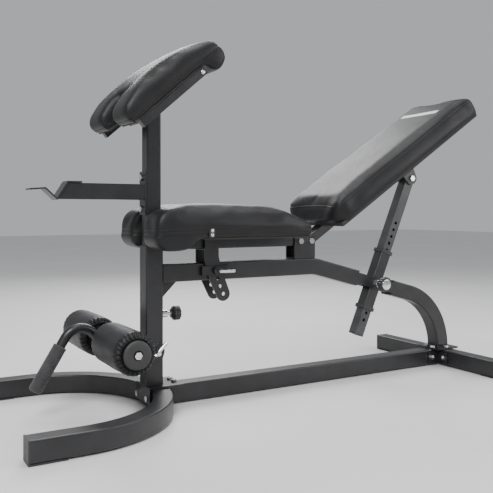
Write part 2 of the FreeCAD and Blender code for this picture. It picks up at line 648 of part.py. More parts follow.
def seat_adjuster():
    """Two perforated cheeks that hang past the rail, joined by a bridge under the seat tube."""
    half = size.adjuster_half
    tip = adjuster_point(size.adjuster_holes - 1)
    upper = adjuster_point(0)
    back, front = upper.x + half - 9, upper.x - half - 13
    lean = (tip - upper).normalize()
    across = vec(-lean.z, 0, lean.x)
    low_front = tip - across * half + lean * half
    low_back = tip + across * half + lean * half
    knee_back = upper + across * half
    knee_front = upper - across * half
    outline = [(front, seat_tube_top, 0), (front, upper.z + 22, 20),
               (knee_front.x, knee_front.z - 18, 20), (low_front.x, low_front.z, half - 0.5),
               (low_back.x, low_back.z, half - 0.5), (knee_back.x, knee_back.z, 20),
               (back, upper.z + 40, 0), (back, seat_tube_top, 0)]
    holes = [(adjuster_point(step).x, adjuster_point(step).z, size.pivot_bolt / 2 + size.hole_play)
             for step in range(int(size.adjuster_holes))]
    inner = half_tube + size.adjuster_gap
    cheeks = [profile("adjuster_cheek_%d" % (side + 1), outline, "Dims.plate",
                      side_placement(0, 0, size.plate, side=side * (inner + size.plate / 2)), holes)
              for side in (LEFT, RIGHT)]
    bridge = block("adjuster_bridge", "%f" % (back - front),
                   "Dims.tube_size + 2 * (Dims.adjuster_gap + Dims.plate)", "Dims.plate",
                   FreeCAD.Placement(vec(front, -inner - size.plate, size.pivot_height
                                         - size.flat_tube_height / 2 - size.plate), FreeCAD.Rotation()))
    keep(fuse("seat_adjuster_weldment", cheeks + [bridge]), "seat_adjuster")


def seat_pin_keeper():
    """Strap on the rail's right side that guides the adjuster and carries its pin."""
    pin = adjuster_point(0)
    inner = half_tube + 2 * size.adjuster_gap + size.plate
    half_length = size.keeper_length / 2
    low = pin.z - size.keeper_height / 2
    strap = block("keeper_strap", "Dims.keeper_length", "Dims.plate", "Dims.keeper_height",
                  FreeCAD.Placement(vec(pin.x - half_length, -inner - size.plate, low),
                                    FreeCAD.Rotation()))
    ears = [block("keeper_ear_%d" % index, "Dims.keeper_ear", "Dims.plate + 2 * Dims.adjuster_gap",
                  "Dims.keeper_height", FreeCAD.Placement(vec(x, -inner, low), FreeCAD.Rotation()))
            for index, x in enumerate((pin.x - half_length, pin.x + half_length - size.keeper_ear))]
    boss = round_bar("keeper_boss", "Dims.keeper_boss / 2", "Dims.keeper_boss_length",
                     pin - Y_AXIS * (inner + size.plate), Y_AXIS * -1)
    bore = round_bar("keeper_bore", "Dims.pivot_bolt / 2 + Dims.play",
                     "Dims.keeper_boss_length + 3 * Dims.plate", pin - Y_AXIS * (inner - size.plate),
                     Y_AXIS * -1)
    keep(cut("keeper_cut", fuse("keeper_blank", [strap, boss] + ears), [bore]), "seat_pin_keeper")
    tip = pin - Y_AXIS * (inner + size.seat_pin_inset)
    shank = round_bar("seat_pin_shank", "Dims.pivot_bolt / 2", "Dims.seat_pin_length", tip, Y_AXIS * -1)
    handle_at = tip - Y_AXIS * (size.seat_pin_length - 2) - X_AXIS * size.seat_handle_lead
    handle = round_bar("seat_pin_handle", "Dims.seat_handle / 2", "Dims.seat_handle_length", handle_at,
                       X_AXIS)
    keep(fuse("seat_pin_fused", [shank, handle]), "seat_pin")


def seat_cushion():
    board_length = "Dims.seat_back_end - Dims.seat_board_front - Dims.seat_board_gap"
    corner = vec(size.seat_board_front, size.board_inset - size.seat_width / 2, seat_tube_top)
    keep(block("seat_board_block", board_length, "Dims.seat_width - 2 * Dims.board_inset", "Dims.board",
               FreeCAD.Placement(corner, FreeCAD.Rotation())), "seat_board")
    bottom = seat_pad_bottom
    top = bottom + size.seat_pad_height
    nose, end, board_front = size.seat_nose, size.seat_back_end, size.seat_board_front
    outline = [(end, bottom, 6), (end, bottom + 30, 12), (end - 95, top - 9, 60), (170, top, 200),
               (nose + 8, top - 4, 46), (nose, bottom - 42, 40), (board_front - 34, bottom - 42, 40),
               (board_front - 8, bottom, 6)]
    blank = profile("seat_pad_blank", outline, "Dims.seat_width",
                    side_placement(0, 0, size.seat_width))
    notch_end = size.notch_half
    notch = block("seat_pad_notch", "%f" % (notch_end - nose + 10), "Dims.notch_half * 2", "200",
                  FreeCAD.Placement(vec(nose - 10, -size.notch_half, bottom - 80), FreeCAD.Rotation()))
    keep(cut("seat_pad_cut", blank, [notch]), "seat_pad")


# ---------------------------------------------------------------- backrest

def backrest_frame():
    start = back_pivot - back_along * size.back_tube_tail
    blank = tube("backrest_tube_blank", "Dims.inner_tube", "Dims.flat_tube_height", "Dims.tube_wall",
                 "Dims.back_tube_length", start, back_along, back_normal)
    bore = round_bar("backrest_bore", "Dims.pivot_bolt / 2 + Dims.play", "Dims.tube_size",
                     back_pivot - Y_AXIS * half_tube, Y_AXIS)
    keep(cut("backrest_tube_cut", blank, [bore]), "backrest_tube")


def strut_hanger():
    """Channel under the backrest's board that the strut's top hangs in."""
    inner = size.strut_size / 2 + size.hanger_gap
    board = size.flat_tube_height / 2
    reach, drop = size.hanger_reach, size.hanger_drop
    half, lug = size.hanger_half, size.hanger_lug
    rounding = lug - size.hole_play
    outline = [(reach - half, board, 0), (reach - lug, -drop - lug, rounding),
               (reach + lug, -drop - lug, rounding), (reach + half, board, 0)]
    ears = [profile("hanger_ear_%d" % (side + 1), outline, "Dims.plate",
                    side_placement(back_pivot.x, back_pivot.z, size.plate, size.back_angle,
                                   side * (inner + size.plate / 2)), [(reach, -drop, size.hanger_pin / 2)])
            for side in (LEFT, RIGHT)]
    corner = back_pivot + back_along * (reach - half) + back_normal * (board - size.plate)
    base = block("hanger_base", "2 * Dims.hanger_half", "2 * Dims.hanger_wing", "Dims.plate",
                 frame_at(corner - Y_AXIS * size.hanger_wing, back_along, back_normal))
    keep(fuse("strut_hanger_weldment", ears + [base]), "strut_hanger")
    made = []
    for side in (LEFT, RIGHT):
        seat = hanger + Y_AXIS * side * (inner + size.plate)
        head = hexagon("hanger_head_%d" % (side + 1), "10", "6", seat, Y_AXIS * side)
        stub = round_bar("hanger_stub_%d" % (side + 1), "Dims.hanger_pin / 2",
                         "Dims.plate - Dims.fit", seat, Y_AXIS * -side)
        made.append(fuse("hanger_bolt_%d" % (side + 1), [head, stub]))
    keep(group("hanger_bolt_group", made), "hanger_bolts")


def back_cushion():
    inset = size.board_inset
    board_at = (back_pivot + back_along * (size.back_pad_start + inset)
                + back_normal * size.flat_tube_height / 2)
    corner = board_at - Y_AXIS * (size.back_width / 2 - inset)
    keep(block("back_board_block", "Dims.back_pad_end - Dims.back_pad_start - 2 * Dims.board_inset",
               "Dims.back_width - 2 * Dims.board_inset", "Dims.board",
               frame_at(corner, back_along, back_normal)), "back_board")
    half = size.back_width / 2
    start, end = size.back_pad_start, size.back_pad_end
    outline = [(start, -half, 55), (end, -half, 22), (end, half, 22), (start, half, 55)]
    base = back_pivot + back_normal * (size.flat_tube_height / 2 + size.board)
    plan = profile("back_pad_plan", outline, "Dims.back_pad_height",
                   frame_at(base, back_along, back_normal))
    top = size.back_pad_height
    side = [(start, 0, 20), (end, 0, 8), (end, top - 4, 14), (start + 180, top, 300),
            (start, top - 6, 38)]
    roll = profile("back_pad_roll", side, "Dims.back_width",
                   side_placement(base.x, base.z, size.back_width, size.back_angle))
    shape = doc.addObject("Part::MultiCommon", "back_pad_shape")
    shape.Shapes = [plan, roll]
    keep(shape, "back_pad")


# ---------------------------------------------------------------- strut and sleeve

def strut():
    """Square tube with a rounded, solid head and a row of pin holes through both side walls."""
    half = size.strut_size / 2
    outline = [(-size.strut_length, -half, 0), (half, -half, half - 0.05), (half, half, half - 0.05),
               (-size.strut_length, half, 0)]
    count = int((size.strut_length - 40 - size.strut_first_hole) / size.strut_pitch) + 1
    holes = [(-size.strut_first_hole - index * size.strut_pitch, 0, size.strut_hole / 2)
             for index in range(count)]
    holes.append((0, 0, size.hanger_pin / 2 + size.play))
    blank = profile("strut_blank", outline, "Dims.strut_size", 
                    side_placement(hanger.x, hanger.z, size.strut_size, strut_degrees), holes)
    hollow_half = half - size.tube_wall
    hollow_width = "Dims.strut_size - 2 * Dims.tube_wall"
    hollow_start = hanger - strut_along * (size.strut_length + 1)
    across = strut_along.cross(Y_AXIS)
    corner = hollow_start - Y_AXIS * hollow_half + across * -hollow_half
    hollow = block("strut_hollow", "Dims.strut_length + 1 - Dims.strut_solid_head", hollow_width,
                   hollow_width, frame_at(corner, strut_along, across))
    keep(cut("strut_cut", blank, [hollow]), "strut")
    keep(round_bar("strut_top_pin_bar", "Dims.hanger_pin / 2", "Dims.strut_size + 2",
                   hanger - Y_AXIS * (half + 1), Y_AXIS), "strut_top_pin")
    bottom = hanger - strut_along * size.strut_length
    cap_corner = bottom - strut_along * 4 - Y_AXIS * half - across * half
    cap = block("strut_cap_plate", "4", "Dims.strut_size", "Dims.strut_size",
                frame_at(cap_corner, strut_along, across))
    plug_half = hollow_half - 0.1
    plug_width = "Dims.strut_size - 2 * Dims.tube_wall - 0.2"
    plug = block("strut_cap_plug", "18", plug_width, plug_width,
                 frame_at(bottom - strut_along * 2 - Y_AXIS * plug_half - across * plug_half,
                          strut_along, across))
    keep(fuse("strut_end_cap_fused", [cap, plug]), "strut_end_cap")


def sleeve():
    """Square sleeve that the strut slides in. It swivels on the yoke's two trunnions."""
    across = strut_along.cross(Y_AXIS)
    bottom = strut_pivot - strut_along * size.sleeve_below
    wall = "(Dims.sleeve_size - Dims.strut_size) / 2 - Dims.slide_play"
    blank = tube("sleeve_blank", "Dims.sleeve_size", "Dims.sleeve_size", wall,
                 "Dims.sleeve_below + Dims.sleeve_above", bottom, strut_along, across)
    near = round_bar("sleeve_near_hole", "Dims.near_trunnion / 2 + Dims.play", "Dims.sleeve_size / 2",
                     strut_pivot - Y_AXIS * (size.sleeve_size / 2 + 1), Y_AXIS)
    far = round_bar("sleeve_far_hole", "Dims.far_trunnion / 2 + Dims.play", "Dims.sleeve_size / 2",
                    strut_pivot + Y_AXIS * (size.sleeve_size / 2 + 1), Y_AXIS * -1)
    keep(cut("sleeve_cut", blank, [near, far]), "sleeve")
    rings = []
    top = strut_pivot + strut_along * size.sleeve_above
    outer_half = size.sleeve_size / 2 + size.collar_lip
    bore_half = size.strut_size / 2 + size.slide_play
    for index, start in enumerate((bottom - strut_along * size.collar_length, top)):
        ring_size = "Dims.sleeve_size + 2 * Dims.collar_lip"
        ring = block("collar_ring_%d" % index, "Dims.collar_length", ring_size, ring_size,
                     frame_at(start - Y_AXIS * outer_half - across * outer_half, strut_along, across))
        bore_width = "Dims.strut_size + 2 * Dims.slide_play"
        bore_at = start - strut_along * 5 - Y_AXIS * bore_half - across * bore_half
        bore = block("collar_bore_%d" % index, "30", bore_width, bore_width,
                     frame_at(bore_at, strut_along, across))
        rings.append(cut("collar_%d" % index, ring, [bore]))
    keep(group("sleeve_collar_group", rings), "sleeve_collars")


def strut_lock():
    """Pin housing on the yoke's right cheek, trunnion on the left one, and the sprung pin with its knob."""
    outer = size.yoke_width / 2
    nose_end = size.strut_size / 2 + size.slide_play + size.nose_gap
    nose_length = "%f" % (outer - nose_end)
    outside = strut_pivot - Y_AXIS * outer
    nose = round_bar("housing_nose", "Dims.near_trunnion / 2", nose_length, outside, Y_AXIS)
    barrel = round_bar("housing_barrel", "Dims.housing_size / 2", "Dims.housing_length", outside,
                       Y_AXIS * -1)
    collar = hexagon("housing_hex", "13", "6", outside, Y_AXIS * -1)
    bore = round_bar("housing_bore", "Dims.pivot_bolt / 2 + Dims.play", "3 * Dims.housing_length",
                     outside + Y_AXIS * size.housing_length, Y_AXIS * -1)
    keep(cut("housing_cut", fuse("housing_blank", [nose, barrel, collar]), [bore]),
         "strut_pin_housing")
    far = strut_pivot + Y_AXIS * outer
    head = hexagon("trunnion_head", "11", "7", far, Y_AXIS)
    stub = round_bar("trunnion_stub", "Dims.far_trunnion / 2", nose_length, far, Y_AXIS * -1)
    keep(fuse("strut_trunnion_fused", [head, stub]), "strut_trunnion")
    tip = strut_pivot - Y_AXIS * (nose_end + size.fit)
    keep(round_bar("strut_pin_bar", "Dims.pivot_bolt / 2", "Dims.strut_pin_length", tip, Y_AXIS * -1),
         "strut_pin")
    knob_seat = outside - Y_AXIS * (size.housing_length + size.knob_gap)
    keep(knob("strut_knob_blank", "Dims.knob_size / 2", "Dims.knob_height", knob_seat, Y_AXIS * -1,
              tip - Y_AXIS * size.strut_pin_length), "strut_knob")


def knob(name, radius, height, seat, axis, pin_end):
    """Round knob with a blind hole for the end of its pin."""
    body = round_bar(name, radius, height, seat, axis)
    depth = (pin_end - seat).dot(axis)
    hole = round_bar(name + "_hole", "Dims.pivot_bolt / 2", "%f" % depth, seat, axis)
    rounded = doc.addObject("Part::Fillet", name + "_rounded")
    rounded.Base = body
    rim = [index for index, edge in enumerate(Part.makeCylinder(1, 1).Edges, start=1) if edge.Closed]
    rounded.Edges = [(index, size.knob_round, size.knob_round) for index in rim]
    return cut(name + "_cut", rounded, [hole])


def post_lock():
    """Pull pin that holds the upper post."""
    outside = vec(half_tube, 0, size.post_pin_height)
    barrel = round_bar("post_housing_barrel", "Dims.post_housing_size / 2", "Dims.housing_length", outside,
                       X_AXIS)
    bore = round_bar("post_housing_bore", "Dims.pivot_bolt / 2 + Dims.play", "2 * Dims.housing_length",
                     outside - X_AXIS * size.housing_length / 2, X_AXIS)
    keep(cut("post_housing_cut", barrel, [bore]), "post_pin_housing")
    tip = vec(size.upper_size / 2 + size.slide_play, 0, size.post_pin_height)
    keep(round_bar("post_pin_bar", "Dims.pivot_bolt / 2", "Dims.post_pin_length", tip, X_AXIS),
         "post_pin")
    knob_seat = outside + X_AXIS * (size.housing_length + size.post_knob_gap)
    keep(knob("post_knob_blank", "Dims.post_knob_size / 2", "Dims.post_knob_height", knob_seat, X_AXIS,
              tip + X_AXIS * size.post_pin_length), "post_knob")


# ---------------------------------------------------------------- upper post

def upper_post():
    """Square tube with a row of pin holes in its rear wall and a top cut to the preacher pad's slope."""
    blank = tube("upper_post_blank", "Dims.upper_size", "Dims.upper_size", "Dims.upper_wall",
                 "Dims.preacher_height + 120 - Dims.upper_bottom", vec(0, 0, size.upper_bottom),
                 Z_AXIS, X_AXIS)
    seat = preacher - preacher_normal * (size.frame_bar + size.heavy_plate)
    corner = seat - preacher_along * 200 - Y_AXIS * 100
    tool = block("upper_post_top_cut", "700", "200", "300",
                 frame_at(corner, preacher_along, preacher_normal))
    holes = [round_bar("upper_hole_%d" % index, "Dims.pivot_bolt / 2 + Dims.hole_play", "20",
                       vec(size.upper_size / 2 - 12, 0, size.upper_first_hole + index * size.upper_pitch),
                       X_AXIS) for index in range(int(size.upper_holes))]
    topped = cut("upper_post_topped", blank, [tool] + holes)
    keep(drill("upper_post_drilled", topped, ARM_BOLTS), "upper_post")


def bar_arm():
    """Tube on a bolted flange, its front end cut to the hook's slope."""
    face = size.upper_size / 2
    half = size.arm_size / 2
    low, high = size.arm_height - half, size.arm_height + half
    wall = size.tube_wall
    start = face + size.heavy_plate
    slant = 27.0
    outer = [(-start, low, 0), (-start, high, 0), (-size.arm_reach, high, 0),
             (-size.arm_reach - slant, low, 0)]
    inner = [(-start - 1, low + wall, 0), (-start - 1, high - wall, 0),
             (-size.arm_reach - 30, high - wall, 0), (-size.arm_reach - 60, low + wall, 0)]
    width = size.inner_tube
    blank = profile("bar_arm_blank", outer, "Dims.inner_tube", side_placement(0, 0, width))
    hollow = profile("bar_arm_hollow", inner, "Dims.inner_tube - 2 * Dims.tube_wall",
                     side_placement(0, 0, width - 2 * wall))
    flange = block("bar_arm_flange", "Dims.heavy_plate", "Dims.upper_size", "Dims.flange_height",
                   FreeCAD.Placement(vec(-start, -face, size.arm_height - size.flange_height / 2 - 3),
                                     FreeCAD.Rotation()))
    welded = fuse("bar_arm_weldment", [cut("bar_arm_tube", blank, [hollow]), flange])
    keep(drill("bar_arm_drilled", welded, ARM_BOLTS), "bar_arm")
    keep(bolts("arm_bolt_group", "Dims.bolt_length - 3", ARM_BOLTS), "arm_bolts")


def bar_hook():
    """Folded strip with a valley for a bar, closed against the arm's slanted end."""
    reach, height = size.arm_reach, size.arm_height
    line = [(reach - 34, height + 23.5), (reach + 2, height + 23.5), (reach + 30, height - 20.5),
            (reach + 59, height + 6.5), (reach + 97, height + 3.5)]
    thick = 4.0
    spine = [vec(-x, z, 0) for x, z in line]
    upper, lower = [], []
    for index, point in enumerate(spine):
        before = spine[max(index - 1, 0)]
        after = spine[min(index + 1, len(spine) - 1)]
        first = (point - before).normalize() if index else (after - point).normalize()
        second = (after - point).normalize() if index < len(spine) - 1 else first
        normal = vec(first.y + second.y, -first.x - second.x, 0).normalize()
        spread = thick / 2 / max(normal.dot(vec(first.y, -first.x, 0)), 0.2)
        upper.append(point + normal * spread)
        lower.append(point - normal * spread)
    outline = [(point.x, point.y, 0) for point in upper + lower[::-1]]
    keep(profile("bar_hook_body", outline, "Dims.hook_width",
                 side_placement(0, 0, size.hook_width)), "bar_hook")


def preacher_point(along, normal):
    return preacher + preacher_along * along + preacher_normal * normal


def preacher_rest():
    def bar(name, start, low, right, length, width, height):
        """Bar in the preacher pad's frame: start and low along it, right is its lowest y."""
        corner = preacher_point(start, low) + Y_AXIS * right
        return block(name, length, width, height, frame_at(corner, preacher_along, preacher_normal))

    thick = size.heavy_plate
    keep(bar("preacher_plate_block", 62, -size.frame_bar - thick, -60, "130", "120", "Dims.heavy_plate"),
         "preacher_plate")
    rail_at = size.preacher_width / 2 - 3 - size.frame_bar
    rails = [bar("preacher_rail_%d" % (side + 1), 15, -size.frame_bar,
                 rail_at if side == LEFT else -rail_at - size.frame_bar,
                 "Dims.preacher_length - 100", "Dims.frame_bar", "Dims.frame_bar")
             for side in (LEFT, RIGHT)]
    crossbars = [bar("preacher_cross_%d" % index, start, -size.frame_bar, -rail_at, "Dims.frame_bar",
                     "%f" % (2 * rail_at), "Dims.frame_bar") for index, start in enumerate((104, 168))]
    keep(fuse("preacher_frame_weldment", rails + crossbars), "preacher_frame")
    board = bar("preacher_board_blank", 6, 0, 8 - size.preacher_width / 2, "Dims.preacher_length - 88",
                "Dims.preacher_width - 16", "Dims.board")
    board_notch = bar("preacher_board_notch", -10, -5, -size.preacher_notch - 6, "114",
                      "Dims.preacher_notch * 2 + 12", "30")
    keep(cut("preacher_board_cut", board, [board_notch]), "preacher_board")
    low = size.board
    end = size.preacher_length
    outline = [(-8, low, 8), (-8, 48, 26), (60, 70, 60), (220, 70, 90), (end - 8, 44, 34),
               (end, -24, 30), (end - 60, -42, 22), (end - 76, low, 6)]
    blank = profile("preacher_pad_blank", outline, "Dims.preacher_width",
                    side_placement(preacher.x, preacher.z, size.preacher_width, size.preacher_angle))
    notch = bar("preacher_pad_notch", -20, -20, -size.preacher_notch, "115", "Dims.preacher_notch * 2",
                "120")
    keep(cut("preacher_pad_cut", blank, [notch]), "preacher_pad")


# ---------------------------------------------------------------- leg lever

def lever():
    """Two ears on the pivot pin, welded to a short tube that carries the roller axle."""
    inner = half_tube + size.lever_gap
    reach = (axle - lever_pivot).Length
    ear = [(-26, -26, 22), (reach + 22, -19, 4), (reach + 22, 19, 4), (-26, 26, 22)]
    pin_hole = (0, 0, size.lever_pin / 2 + size.play)
    axle_hole = (reach, 0, size.axle_size / 2)
    ears = [profile("lever_ear_%d" % (side + 1), ear, "Dims.plate",
                    side_placement(lever_pivot.x, lever_pivot.z, size.plate, lever_degrees,
                                   side * (inner + size.plate / 2)), [pin_hole, axle_hole])
            for side in (LEFT, RIGHT)]
    start = lever_pivot + lever_along * 80
    up = lever_along.cross(Y_AXIS)
    body = tube("lever_tube", "Dims.tube_size + 2 * Dims.lever_gap", "38", "Dims.tube_wall",
                "%f" % (reach - 58), start, lever_along, up)
    bore = round_bar("lever_axle_bore", "Dims.axle_size / 2", "Dims.tube_size + 20",
                     axle - Y_AXIS * (half_tube + 10), Y_AXIS)
    keep(cut("lever_arm_cut", fuse("lever_blank", ears + [body]), [bore]), "lever_arm")
    pin_start = lever_pivot + Y_AXIS * (half_tube + 10)
    shank = round_bar("pivot_pin_shank", "Dims.lever_pin / 2", "Dims.tube_size + 42", pin_start, Y_AXIS * -1)
    corner = pin_start - Y_AXIS * (size.tube_size + 38)
    lean = vec(1, 0, 1).normalize()
    handle = round_bar("pivot_pin_handle", "Dims.handle_size / 2", "Dims.handle_length",
                       corner + Y_AXIS * (size.handle_size / 2 + 2) - lean * size.handle_size, lean)
    keep(fuse("lever_pivot_pin_fused", [shank, handle]), "lever_pivot_pin")


def rollers():
    half = size.roller_gap + size.roller_length
    keep(round_bar("roller_axle_bar", "Dims.axle_size / 2", "2 * (Dims.roller_gap + Dims.roller_length) + 14",
                   axle - Y_AXIS * (half + 7), Y_AXIS), "roller_axle")
    nuts = []
    for side, tag in ((LEFT, "left"), (RIGHT, "right")):
        outward = Y_AXIS * side
        inner_end = axle + outward * size.roller_gap
        outer_end = axle + outward * half
        foam = round_bar("foam_%s_blank" % tag, "Dims.roller_size / 2", "Dims.roller_length", inner_end,
                         outward)
        foam_bore = round_bar("foam_%s_bore" % tag, "Dims.roller_bore / 2", "Dims.roller_length + 2",
                              inner_end - outward, outward)
        keep(cut("foam_%s_cut" % tag, foam, [foam_bore]), "foam_roller_" + tag)
        core = round_bar("core_%s" % tag, "Dims.roller_bore / 2", "Dims.roller_length", inner_end, outward)
        disc = round_bar("cap_%s" % tag, "Dims.cap_size / 2", "6", outer_end, outward)
        bore = round_bar("core_%s_bore" % tag, "Dims.axle_size / 2 + Dims.play", "Dims.roller_length + 12",
                         inner_end - outward, outward)
        keep(cut("core_%s_cut" % tag, fuse("core_%s_blank" % tag, [core, disc]), [bore]),
             "roller_core_" + tag)
        nuts.append(hexagon("axle_nut_%s" % tag, "Dims.axle_size * 0.6", "6", outer_end + outward * 7,
                            outward))
    keep(group("axle_nut_group", nuts), "axle_nuts")


def curl_bar():
    """Bent round bar in the middle plane with a soft grip on its straight end."""
    start = axle + lever_along * 22.2
    top = vec(size.curl_top_reach, 0, size.curl_top_height)
    tip = vec(size.curl_tip_reach, 0, size.curl_tip_height)
    wire = path_wire([start, top, tip], [size.curl_bend])
    along = (top - start).normalize()
    radius = size.curl_size / 2
    keep(swept("curl_bar_tube", wire, round_section(radius, start, along),
               round_section(radius - size.curl_wall, start, along)), "curl_bar")
    down = (tip - top).normalize()
    grip_start = tip - down * size.grip_length
    outer = round_bar("bar_grip_blank", "Dims.grip_size / 2", "Dims.grip_length + 3", grip_start, down)
    bore = round_bar("bar_grip_bore", "Dims.curl_size / 2", "Dims.grip_length", grip_start, down)
    keep(cut("bar_grip_cut", outer, [bore]), "bar_grip")


# ---------------------------------------------------------------- build, check and write

for make in (front_stabilizer, feet, floor_tubes, base_bracket, corner_brackets, post, post_bush,
             seat_rail, rear_leg, strut_yoke, hinge_bracket, seat_frame, seat_adjuster,
             seat_pin_keeper, seat_cushion, backrest_frame, strut_hanger, back_cushion, strut, sleeve,
             strut_lock, post_lock, upper_post, bar_arm, bar_hook, preacher_rest, lever, rollers,
             curl_bar):
    make()
doc.recompute()

for item in doc.Objects:
    if "Invalid" in item.State or "Error" in item.State:
        raise RuntimeError("%s (%s) failed: %s" % (item.Name, item.Label, item.State))
for item in parts:
    if item.Shape.isNull() or not item.Shape.isValid() or not item.Shape.Solids:
        raise RuntimeError("%s has no valid solid" % item.Label)
for item in parts:
    item.Shape.exportStep("parts/%s.step" % item.Label)
print("%d sub-parts, %d solids" % (len(parts), sum(len(item.Shape.Solids) for item in parts)))
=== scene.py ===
import json
import math

import bmesh
import bpy
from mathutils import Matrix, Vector, noise


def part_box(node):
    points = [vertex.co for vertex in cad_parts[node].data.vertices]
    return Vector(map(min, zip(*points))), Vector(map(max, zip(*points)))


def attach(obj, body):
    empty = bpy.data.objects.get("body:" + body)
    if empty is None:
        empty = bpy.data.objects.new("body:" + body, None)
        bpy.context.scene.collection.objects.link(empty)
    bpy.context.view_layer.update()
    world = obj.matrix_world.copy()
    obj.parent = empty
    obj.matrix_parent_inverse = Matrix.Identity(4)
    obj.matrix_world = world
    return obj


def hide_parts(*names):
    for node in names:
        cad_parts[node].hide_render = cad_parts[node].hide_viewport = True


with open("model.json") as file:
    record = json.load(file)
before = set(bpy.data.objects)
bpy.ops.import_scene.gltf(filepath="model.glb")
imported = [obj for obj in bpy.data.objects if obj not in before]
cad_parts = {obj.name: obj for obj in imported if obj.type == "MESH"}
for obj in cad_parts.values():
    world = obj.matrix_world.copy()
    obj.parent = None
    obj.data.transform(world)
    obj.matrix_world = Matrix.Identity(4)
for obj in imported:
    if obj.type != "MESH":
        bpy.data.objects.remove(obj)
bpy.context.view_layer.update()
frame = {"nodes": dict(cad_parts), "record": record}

scene = bpy.context.scene
MM = 0.001
Y_AXIS = Vector((0, 1, 0))
Z_AXIS = Vector((0, 0, 1))

# The post stands over the origin, and the camera stands on the bench's right side.
CAMERA_PLACE = Vector((-0.721, -1.771, 0.530))
CAMERA_TURN = -30.0
CAMERA_LENS = 50.4
CAMERA_SHIFT = -0.07
CAMERA_SENSOR = 36
FLOOR_DROP = 0.5 * MM
FLOOR_REACH = 14.0


# ---------------------------------------------------------------- places from the frame

def centre(node):
    low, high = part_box(node)
    return (Vector(low) + Vector(high)) / 2


def span(node):
    low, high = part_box(node)
    return Vector(high) - Vector(low)


def board_axes(node):
    """A board's long direction and the direction out of its upper face."""
    face = max(frame["nodes"][node].data.polygons, key=lambda polygon: polygon.area)
    normal = face.normal.copy()
    if normal.z < 0:
        normal.negate()
    return Y_AXIS.cross(normal), normal


def board_top(node):
    """A point on the board's upper face."""
    normal = board_axes(node)[1]
    return max((v.co for v in frame["nodes"][node].data.vertices), key=lambda co: co.dot(normal))


# ---------------------------------------------------------------- materials

class Nodes:
    """A material's node tree, built by short calls."""

    def __init__(self, name):
        self.material = bpy.data.materials.new(name)
        self.material.use_nodes = True
        self.tree = self.material.node_tree
        self.shader = self.tree.nodes["Principled BSDF"]
        self.place = self.tree.nodes.new("ShaderNodeTexCoord").outputs["Object"]

    def add(self, kind, **values):
        node = self.tree.nodes.new("ShaderNode" + kind)
        for key, value in values.items():
            if key in node.inputs:
                node.inputs[key].default_value = value
            else:
                setattr(node, key, value)
        return node

    def link(self, output, target):
        self.tree.links.new(output, target)

    def noise(self, scale, detail=2.0, rough=0.5, stretch=None):
        """Noise over the object's own coordinates, drawn out along an axis if stretch is given."""
        texture = self.add("TexNoise", Scale=scale, Detail=detail, Roughness=rough)
        place = self.place
        if stretch:
            mapping = self.add("Mapping")
            mapping.inputs["Scale"].default_value = stretch
            self.link(place, mapping.inputs["Vector"])
            place = mapping.outputs["Vector"]
        self.link(place, texture.inputs["Vector"])
        return texture.outputs["Fac"]

    def cells(self, scale, feature="F1"):
        texture = self.add("TexVoronoi", feature=feature)
        texture.inputs["Scale"].default_value = scale
        self.link(self.place, texture.inputs["Vector"])
        return texture.outputs["Distance"]

    def ramp(self, source, stops):
        """Colour ramp through (position, colour) stops."""
        node = self.add("ValToRGB")
        elements = node.color_ramp.elements
        while len(elements) < len(stops):
            elements.new(0.5)
        for element, (position, colour) in zip(elements, stops):
            element.position = position
            element.color = (*colour, 1)
        self.link(source, node.inputs["Fac"])
        return node.outputs["Color"]

    def spread(self, source, low, high):
        """Source from 0..1 to low..high."""
        node = self.add("MapRange")
        node.inputs["To Min"].default_value = low
        node.inputs["To Max"].default_value = high
        self.link(source, node.inputs["Value"])
        return node.outputs["Result"]

    def combine(self, operation, first, second):
        node = self.add("Math", operation=operation)
        for socket, value in zip(node.inputs, (first, second)):
            if isinstance(value, float):
                socket.default_value = value
            else:
                self.link(value, socket)
        return node.outputs["Value"]

    def bump(self, height, strength, distance, under=None):
        node = self.add("Bump")
        node.inputs["Strength"].default_value = strength
        node.inputs["Distance"].default_value = distance
        self.link(height, node.inputs["Height"])
        if under:
            self.link(under, node.inputs["Normal"])
        return node.outputs["Normal"]

    def finish(self, colour, roughness, normal, **plain):
        self.link(colour, self.shader.inputs["Base Color"])
        self.link(roughness, self.shader.inputs["Roughness"])
        self.link(normal, self.shader.inputs["Normal"])
        for key, value in plain.items():
            self.shader.inputs[key.replace("_", " ")].default_value = value
        return self.material


def mottled(nodes, dark, light, scale):
    return nodes.ramp(nodes.noise(scale, 4.0), [(0.3, dark), (0.7, light)])


def powder_coat(name, dark, light, gloss):
    """Baked black coat: fine orange peel, faint cloudiness and scuffs."""
    nodes = Nodes(name)
    colour = mottled(nodes, dark, light, 22.0)
    scuffs = nodes.noise(160.0, 5.0, 0.7, (1.0, 1.0, 0.25))
    roughness = nodes.spread(scuffs, gloss - 0.07, gloss + 0.09)
    peel = nodes.bump(nodes.noise(900.0, 2.0), 0.16, 0.0006)
    return nodes.finish(colour, roughness, peel, Coat_Weight=0.12, Coat_Roughness=0.22)


def vinyl(name, dark, light, gloss, stripe=None):
    """Leather-grain vinyl: pebbled cells over slow dents, and an optional plain pale stripe."""
    nodes = Nodes(name)
    colour = mottled(nodes, dark, light, 9.0)
    if stripe:
        colour = stripe(nodes, colour)
    roughness = nodes.spread(nodes.noise(60.0, 4.0), gloss - 0.06, gloss + 0.08)
    dents = nodes.bump(nodes.noise(28.0, 2.0), 0.07, 0.003)
    grain = nodes.combine("ADD", nodes.cells(620.0), nodes.noise(1500.0, 2.0))
    pebbled = nodes.bump(grain, 0.22, 0.0005, dents)
    return nodes.finish(colour, roughness, pebbled, Sheen_Weight=0.02, Sheen_Roughness=0.4,
                        Specular_IOR_Level=0.24)


